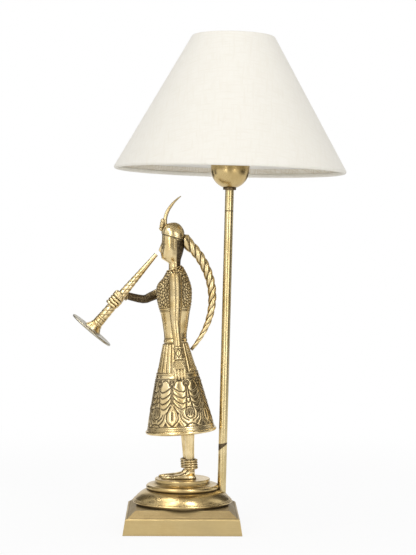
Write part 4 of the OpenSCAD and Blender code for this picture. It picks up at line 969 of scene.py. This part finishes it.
def makeBraid():
    root, bendA, bendB, end = (np.array(braid[key]) for key in ("root", "bendA", "bendB", "end"))
    t = np.linspace(0, 1, braid["steps"] + 1)[:, None]
    line = (1 - t) ** 3 * root + 3 * (1 - t) ** 2 * t * bendA + 3 * (1 - t) * t * t * bendB + t ** 3 * end
    go = np.gradient(line, axis=0)
    go /= np.linalg.norm(go, axis=1)[:, None]
    run = np.concatenate(([0], np.cumsum(np.linalg.norm(np.diff(line, axis=0), axis=1))))[:, None]
    u = np.cross(np.array([0.0, 1.0, 0.0]), go)
    half = braid["half"] * (1 - 0.1 * t - 0.6 * t ** 3) + braid["flare"] * np.exp(-t / 0.07)
    a = np.linspace(0, math.tau, braid["around"], endpoint=False)
    lobe = np.abs(np.cos(braid["lobes"] / 2 * (a - math.tau / braid["lobes"] * run / braid["pitch"])))
    deep = braid["groove"] * np.clip((t - 0.015) / 0.05, 0, 1) * np.clip((1.0 - t) / 0.05, 0.25, 1)
    radius = half * (1 - deep * (1 - np.clip(lobe, 0.02, 1) ** 0.55))
    rows = ropeRows(line, radius, a, u[:, None], np.cross(go, u)[:, None])
    rows[..., 0] = np.maximum(rows[..., 0], root[0] + 4.5 * t)
    rows[0, :, 0] = root[0]
    dark = np.maximum(bell(lobe, 0.34), 0.2 * (1 - lobe)) * np.clip(t / 0.05, 0.2, 1)
    dress(skin("braid_rope", rows, np.maximum(dark, 0.8 * bell(t - 0.992, 0.01))), "braid")


makeBraid()


# trumpet: a tapered tube with a shallow twist, its collar and flat bell

trumpet = {"mouth": (-30.3, 0.0, 298.2), "angle": 40.1, "radii": ((0, 2.15), (50, 4.6), (100, 5.9)), "twist": 24.0,
           "starts": 4, "depth": 0.55, "plainUntil": 20.0, "collar": (90.5, 92.9, 97.5), "rowStep": 0.35,
           "around": 72, "discFrom": 106.6, "knuckles": (54.5, 64.2), "fingersFrom": 59.5,
           "creases": (64.9, 68.0, 71.6), "knuckle": 1.6, "knuckleEdge": 0.7, "knuckleSeed": 5}
mouth, tilt = np.array(trumpet["mouth"]), math.radians(trumpet["angle"])
trumpetAxis = np.array([-math.sin(tilt), 0, -math.cos(tilt)])


def makeTrumpetTube():
    s = np.concatenate(([0.6, 0.0, 0.0, 0.05], np.arange(0.35, 100.0, trumpet["rowStep"]), [99.9]))[:, None]
    r = np.interp(s, *zip(*trumpet["radii"]))
    r[:2, 0] = 0.02, 1.4
    r = r + np.where((s > 0) & (s < 1.8), 0.18, 0)
    a = np.linspace(0, math.tau, trumpet["around"], endpoint=False)
    lobe = np.abs(np.cos(trumpet["starts"] / 2 * (a - math.tau * s / trumpet["twist"])))
    collar = trumpet["collar"][0]
    share = np.clip((s - trumpet["plainUntil"]) / 12, 0, 1) * np.clip((collar - s) / 1.5, 0, 1)
    out = -trumpet["depth"] * share * (1 - np.clip(lobe, 0.02, 1) ** 0.7)
    dark = 0.85 * share * bell(lobe, 0.36)
    for place in trumpet["collar"]:
        out -= 0.3 * bell(s - place, 0.4)
        dark = np.maximum(dark, 0.9 * bell(s - place, 0.5))
    crosses = np.where((s > collar + 2.6) & (s < 97), 0.7 * bell(np.abs(np.sin(6 * a)), 0.35), 0)
    up = np.array([-math.cos(tilt), 0, math.sin(tilt)])
    rows = ropeRows(mouth + s * trumpetAxis, r + np.where(s > 2, out, 0), a, up, np.cross(trumpetAxis, up))
    dress(skin("trumpet_twisted", rows, np.maximum(dark, crosses)), "trumpet_tube")


def gripRelief(points, normals):
    along = (points - mouth) @ trumpetAxis
    low, high = trumpet["knuckles"]
    chosen = (along > low) & (along < high)
    edge = seedCells(points, chosen, trumpet["knuckle"], trumpet["knuckleEdge"], trumpet["knuckleSeed"])[1]
    fingers = (along > trumpet["fingersFrom"]) & (points[:, 1] < 4)
    return np.where(chosen, 0.28 * (edge - 0.9), 0) + np.where(fingers, 0.3, 0), \
        darkest(np.where(chosen, (1 - edge) * 0.85, 0),
                *(0.8 * bell(along - place, 0.42) for place in trumpet["creases"]))


makeTrumpetTube()
bellPiece = turnedPiece("trumpet_bell", 38, 0.25, 2)
bellPiece.data.materials.append(looks["castBrass"])
for face in bellPiece.data.polygons:
    far = float(np.dot(np.array(face.center) / mm - mouth, trumpetAxis))
    face.material_index = 1 if far < trumpet["discFrom"] else 0
castPiece("right_hand", 0.28, 2, gripRelief)


# cuff, bracelet, neck ring, belt and head ornament. knobRings: height, radius and count of beads

trim = {"cuffTop": (-2.9, -24.5, 145.8), "cuffLow": (-2.5, -25.69, 132.3), "cuffLines": (1.9, 11.7),
        "braceletTop": (-61.86, 12.77, 252.13), "braceletLow": (-67.98, 11.47, 253.47),
        "braceletLines": (1.0, 2.2, 3.4), "knob": (-24.7, 0.0, 325.8), "knobTilt": 8.0, "bead": 0.95,
        "knobRings": ((0.4, 2.7, 8), (3.4, 2.75, 8), (6.5, 2.5, 7), (9.3, 2.1, 6)), "rounds": 3}


# Crosses between two plain edges, and dark lines round the ring
def ringRelief(top, low, crosses, depth, lines):
    length = np.linalg.norm(low - top)
    go = (low - top) / length

    def relief(points, normals):
        along = (points - top) @ go
        flat = points - top - along[:, None] * go
        cell = (np.arctan2(flat[:, 0], -flat[:, 1]) / math.tau * crosses) % 1 - 0.5
        share = np.clip((along - 2.0) / (length - 4.0), 0, 1) - 0.5
        gap = np.minimum(np.abs(cell - share), np.abs(cell + share)) * 6
        inside = (along > 2.0) & (along < length - 2.0)
        return np.where(inside, -depth * bell(gap, 0.55), 0), \
            darkest(np.where(inside, bell(gap, 0.7), 0), *(0.95 * bell(along - place, 0.4) for place in lines))
    return relief


def plainRelief(points, normals):
    return 0, 0


cuffRelief = ringRelief(*(toLamp(np.array(trim[key])) for key in ("cuffTop", "cuffLow")), 5, 0.4, trim["cuffLines"])
braceletRelief = ringRelief(*(np.array(trim[key]) for key in ("braceletTop", "braceletLow")), 8, 0.2,
                            trim["braceletLines"])
for source, cell, relief in (("left_cuff", 0.26, cuffRelief), ("right_bracelet", 0.24, braceletRelief),
                             ("neck_ring", 0.2, plainRelief), ("belt", 0.35, plainRelief)):
    castPiece(source, cell, trim["rounds"], relief)

ornament = castCopy("head_ornament", 0.24, 2)
bead = smallPiece("bead", lambda work: bmesh.ops.create_icosphere(work, subdivisions=2, radius=trim["bead"] * mm),
                  (0.8, 1, 1.25))
knobMatrix = Matrix.Translation(Vector(trim["knob"]) * mm) @ Matrix.Rotation(math.radians(trim["knobTilt"]), 4, "Y")
rings = [ringOf(f"knob_ring_{i}", bead, knobMatrix @ Matrix.Translation((0, 0, rise * mm)), Count=count,
                Radius=(radius - 0.45) * mm, Start_Angle=0.3 * i, Size=1.0, Size_Spread=0.12, Seed=i,
                Finish=looks["castBrass"]) for i, (rise, radius, count) in enumerate(trim["knobRings"])]
bpy.data.objects.remove(bead)
joinInto(ornament, *rings)
dress(ornament, "head_ornament")
print("braid, trumpet and trim made")


# foot, plinth, pole and cup: turned and folded pieces with rounded arrises

for source, angle, width in (("square_base", 24, 0.9), ("round_plinth", 50, 0.3), ("pole_tube", 50, 0.15),
                             ("neck_tube", 50, 0.2), ("neck_collar", 50, 0.35), ("holder_cup", 50, 0.2)):
    turnedPiece(source, angle, width)
print("foot, plinth, pole and cup made")


# shade: cloth on two wires with rolled hems, a lapped seam at the back, lining and tape

shade = {"poleX": 42.3, "poleLean": 1.1, "low": 389.2, "height": 147.8, "bottomDiameter": 254.0,
         "topDiameter": 92.3, "hem": 4.4, "cloth": 0.7, "liner": 0.4, "around": 192, "seamWidth": 7.0, "tape": 6.0,
         "tapeThick": 0.5, "stitches": 168, "stitchLength": 2.6, "stitchThick": 0.56, "slack": 0.05}
poleMatrix = Matrix.Translation((shade["poleX"] * mm, 0, 0)) \
    @ Matrix.Rotation(math.radians(shade["poleLean"]), 4, "Y")
half = shade["hem"] / 2
hemLow = np.array([shade["bottomDiameter"] / 2 - half, shade["low"] + half])
hemHigh = np.array([shade["topDiameter"] / 2 - half, shade["low"] + shade["height"] - half])
slopeLength = float(np.linalg.norm(hemHigh - hemLow))
slopeDir = (hemHigh - hemLow) / slopeLength
slopeOut = np.array([slopeDir[1], -slopeDir[0]])
coneSine = -float(slopeDir[0])


def onSlope(along, off):
    return hemLow + slopeDir * along + slopeOut * off


# Closed profile of (radius, height) turned round the pole's axis, with the cloth's own flat layout as its UVs
def turnedCloth(name, profile):
    profile = np.array(profile)
    count, around = len(profile), shade["around"]
    theta = np.linspace(0, math.tau, around, endpoint=False) + math.pi / 2
    radius, height = profile[:, :1], np.repeat(profile[:, 1:], around, 1)
    points = np.stack((radius * np.cos(theta), radius * np.sin(theta), height), -1)
    k, i = np.meshgrid(np.arange(count), np.arange(around), indexing="ij")
    nextK, nextI = (k + 1) % count, (i + 1) % around
    faces = np.stack((k * around + i, k * around + nextI, nextK * around + nextI, nextK * around + i), -1)
    obj = meshObject(name, points.reshape(-1, 3), faces.reshape(-1, 4).tolist())
    flat = np.empty((count, around, 4, 2))
    for corner, (row, column) in enumerate(((k, i), (k, i + 1), (nextK, i + 1), (nextK, i))):
        reach = profile[row, 0] / coneSine
        psi = (column / around - 0.5) * math.tau * coneSine
        flat[:, :, corner, 0], flat[:, :, corner, 1] = reach * np.sin(psi) * mm, reach * np.cos(psi) * mm
    obj.data.uv_layers.new(name="cloth").data.foreach_set("uv", flat.ravel())
    obj.data.shade_smooth()
    obj.data.set_sharp_from_angle(angle=math.radians(50))
    obj.data.transform(poleMatrix)
    obj.data.update()
    return obj


def wallProfile(start, stop, near, far, rows):
    outer = [onSlope(s, far) for s in np.linspace(start, stop, rows)]
    return outer + [onSlope(s, near) for s in np.linspace(stop, start, rows)]


def hemTube(name, centre):
    profile = [centre + (half - 0.02) * np.array([math.cos(t), math.sin(t)])
               for t in np.linspace(0, math.tau, 20, endpoint=False)]
    return dress(turnedCloth(name, profile), slot="shade_fabric", body="shade")


def lapSeam():
    rows = []
    for s in np.linspace(0.5, slopeLength - 0.5, 60):
        outer = onSlope(s, half + 0.02)
        side = shade["seamWidth"] / 2 / outer[0]
        ring = []
        for share, lift in ((-1, -0.15), (-0.9, 0.22), (0, 0.28), (0.9, 0.22), (1, -0.15), (0, -0.3)):
            radius, height = outer + slopeOut * lift
            turn = math.pi / 2 - side * share
            ring.append((radius * math.cos(turn), radius * math.sin(turn), height))
        rows.append(ring)
    obj = skin("shade_seam", np.array(rows))
    obj.data.uv_layers.new(name="cloth")
    obj.data.transform(poleMatrix)
    return dress(obj, slot="shade_fabric", body="shade")


clothPiece = turnedCloth("shade_cloth", wallProfile(0, slopeLength, half - shade["cloth"], half - 0.02, 14))
dress(clothPiece, "shade_cover", "shade_fabric", "shade")
hems = [hemTube("hem_low", hemLow), hemTube("hem_high", hemHigh)]
seamPiece = lapSeam()

linerFar = half - shade["cloth"] - shade["slack"]
linerNear = linerFar - shade["liner"]
lining = turnedCloth("shade_lining_cloth", wallProfile(half, slopeLength - half, linerNear, linerFar, 8))
dress(lining, "shade_liner", "shade_lining", "shade")
tapeFar = linerNear - shade["slack"]
tapeNear = tapeFar - shade["tapeThick"]
tapes = [turnedCloth(f"tape_{name}", wallProfile(start, start + shade["tape"], tapeNear, tapeFar, 3))
         for name, start in (("low", half + 0.1), ("high", slopeLength - half - shade["tape"] - 0.1))]
for tape in tapes:
    dress(tape, slot="cotton_tape", body="shade")
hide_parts("hem_strips")

stitch = smallPiece("stitch", lambda work: bmesh.ops.create_uvsphere(work, u_segments=8, v_segments=6,
                                                                     radius=shade["stitchThick"] / 2 * mm),
                    (1, shade["stitchLength"] / shade["stitchThick"], 1))
for name, along in (("low", half + 5.0), ("high", slopeLength - half - 5.0)):
    radius, height = onSlope(along, tapeNear - 0.02)
    ring = ringOf(f"stitches_{name}", stitch, poleMatrix @ Matrix.Translation((0, 0, height * mm)),
                  Count=round(shade["stitches"] * radius / hemLow[0]), Radius=radius * mm, Size=1.0,
                  Size_Spread=0.1, Seed=11, Finish=looks["cottonTape"])
    ring.data.shade_smooth()
    dress(ring, slot="cotton_tape", body="shade")
bpy.data.objects.remove(stitch)
print("shade made")


# felt under the foot

felt = {"cell": 1.2, "rounds": 2, "fuzz": 0.12}


def feltRelief(points, normals):
    x, y, z = points.T
    wave = np.sin(x * 1.7 + np.sin(y * 0.9) * 2) * np.sin(y * 1.9)
    return -felt["fuzz"] * (0.5 + 0.5 * wave), 0


castPiece("felt_pad", felt["cell"], felt["rounds"], feltRelief, "felt")
print("felt made")


# plain turned pieces round the lampholder, smooth instead of faceted

for source, body in (("bulb_glass", "bulb"), ("top_wire", "shade"), ("bottom_wire", "shade")):
    turnedPiece(source, 50, 0, body=body)
print("lampholder pieces made")
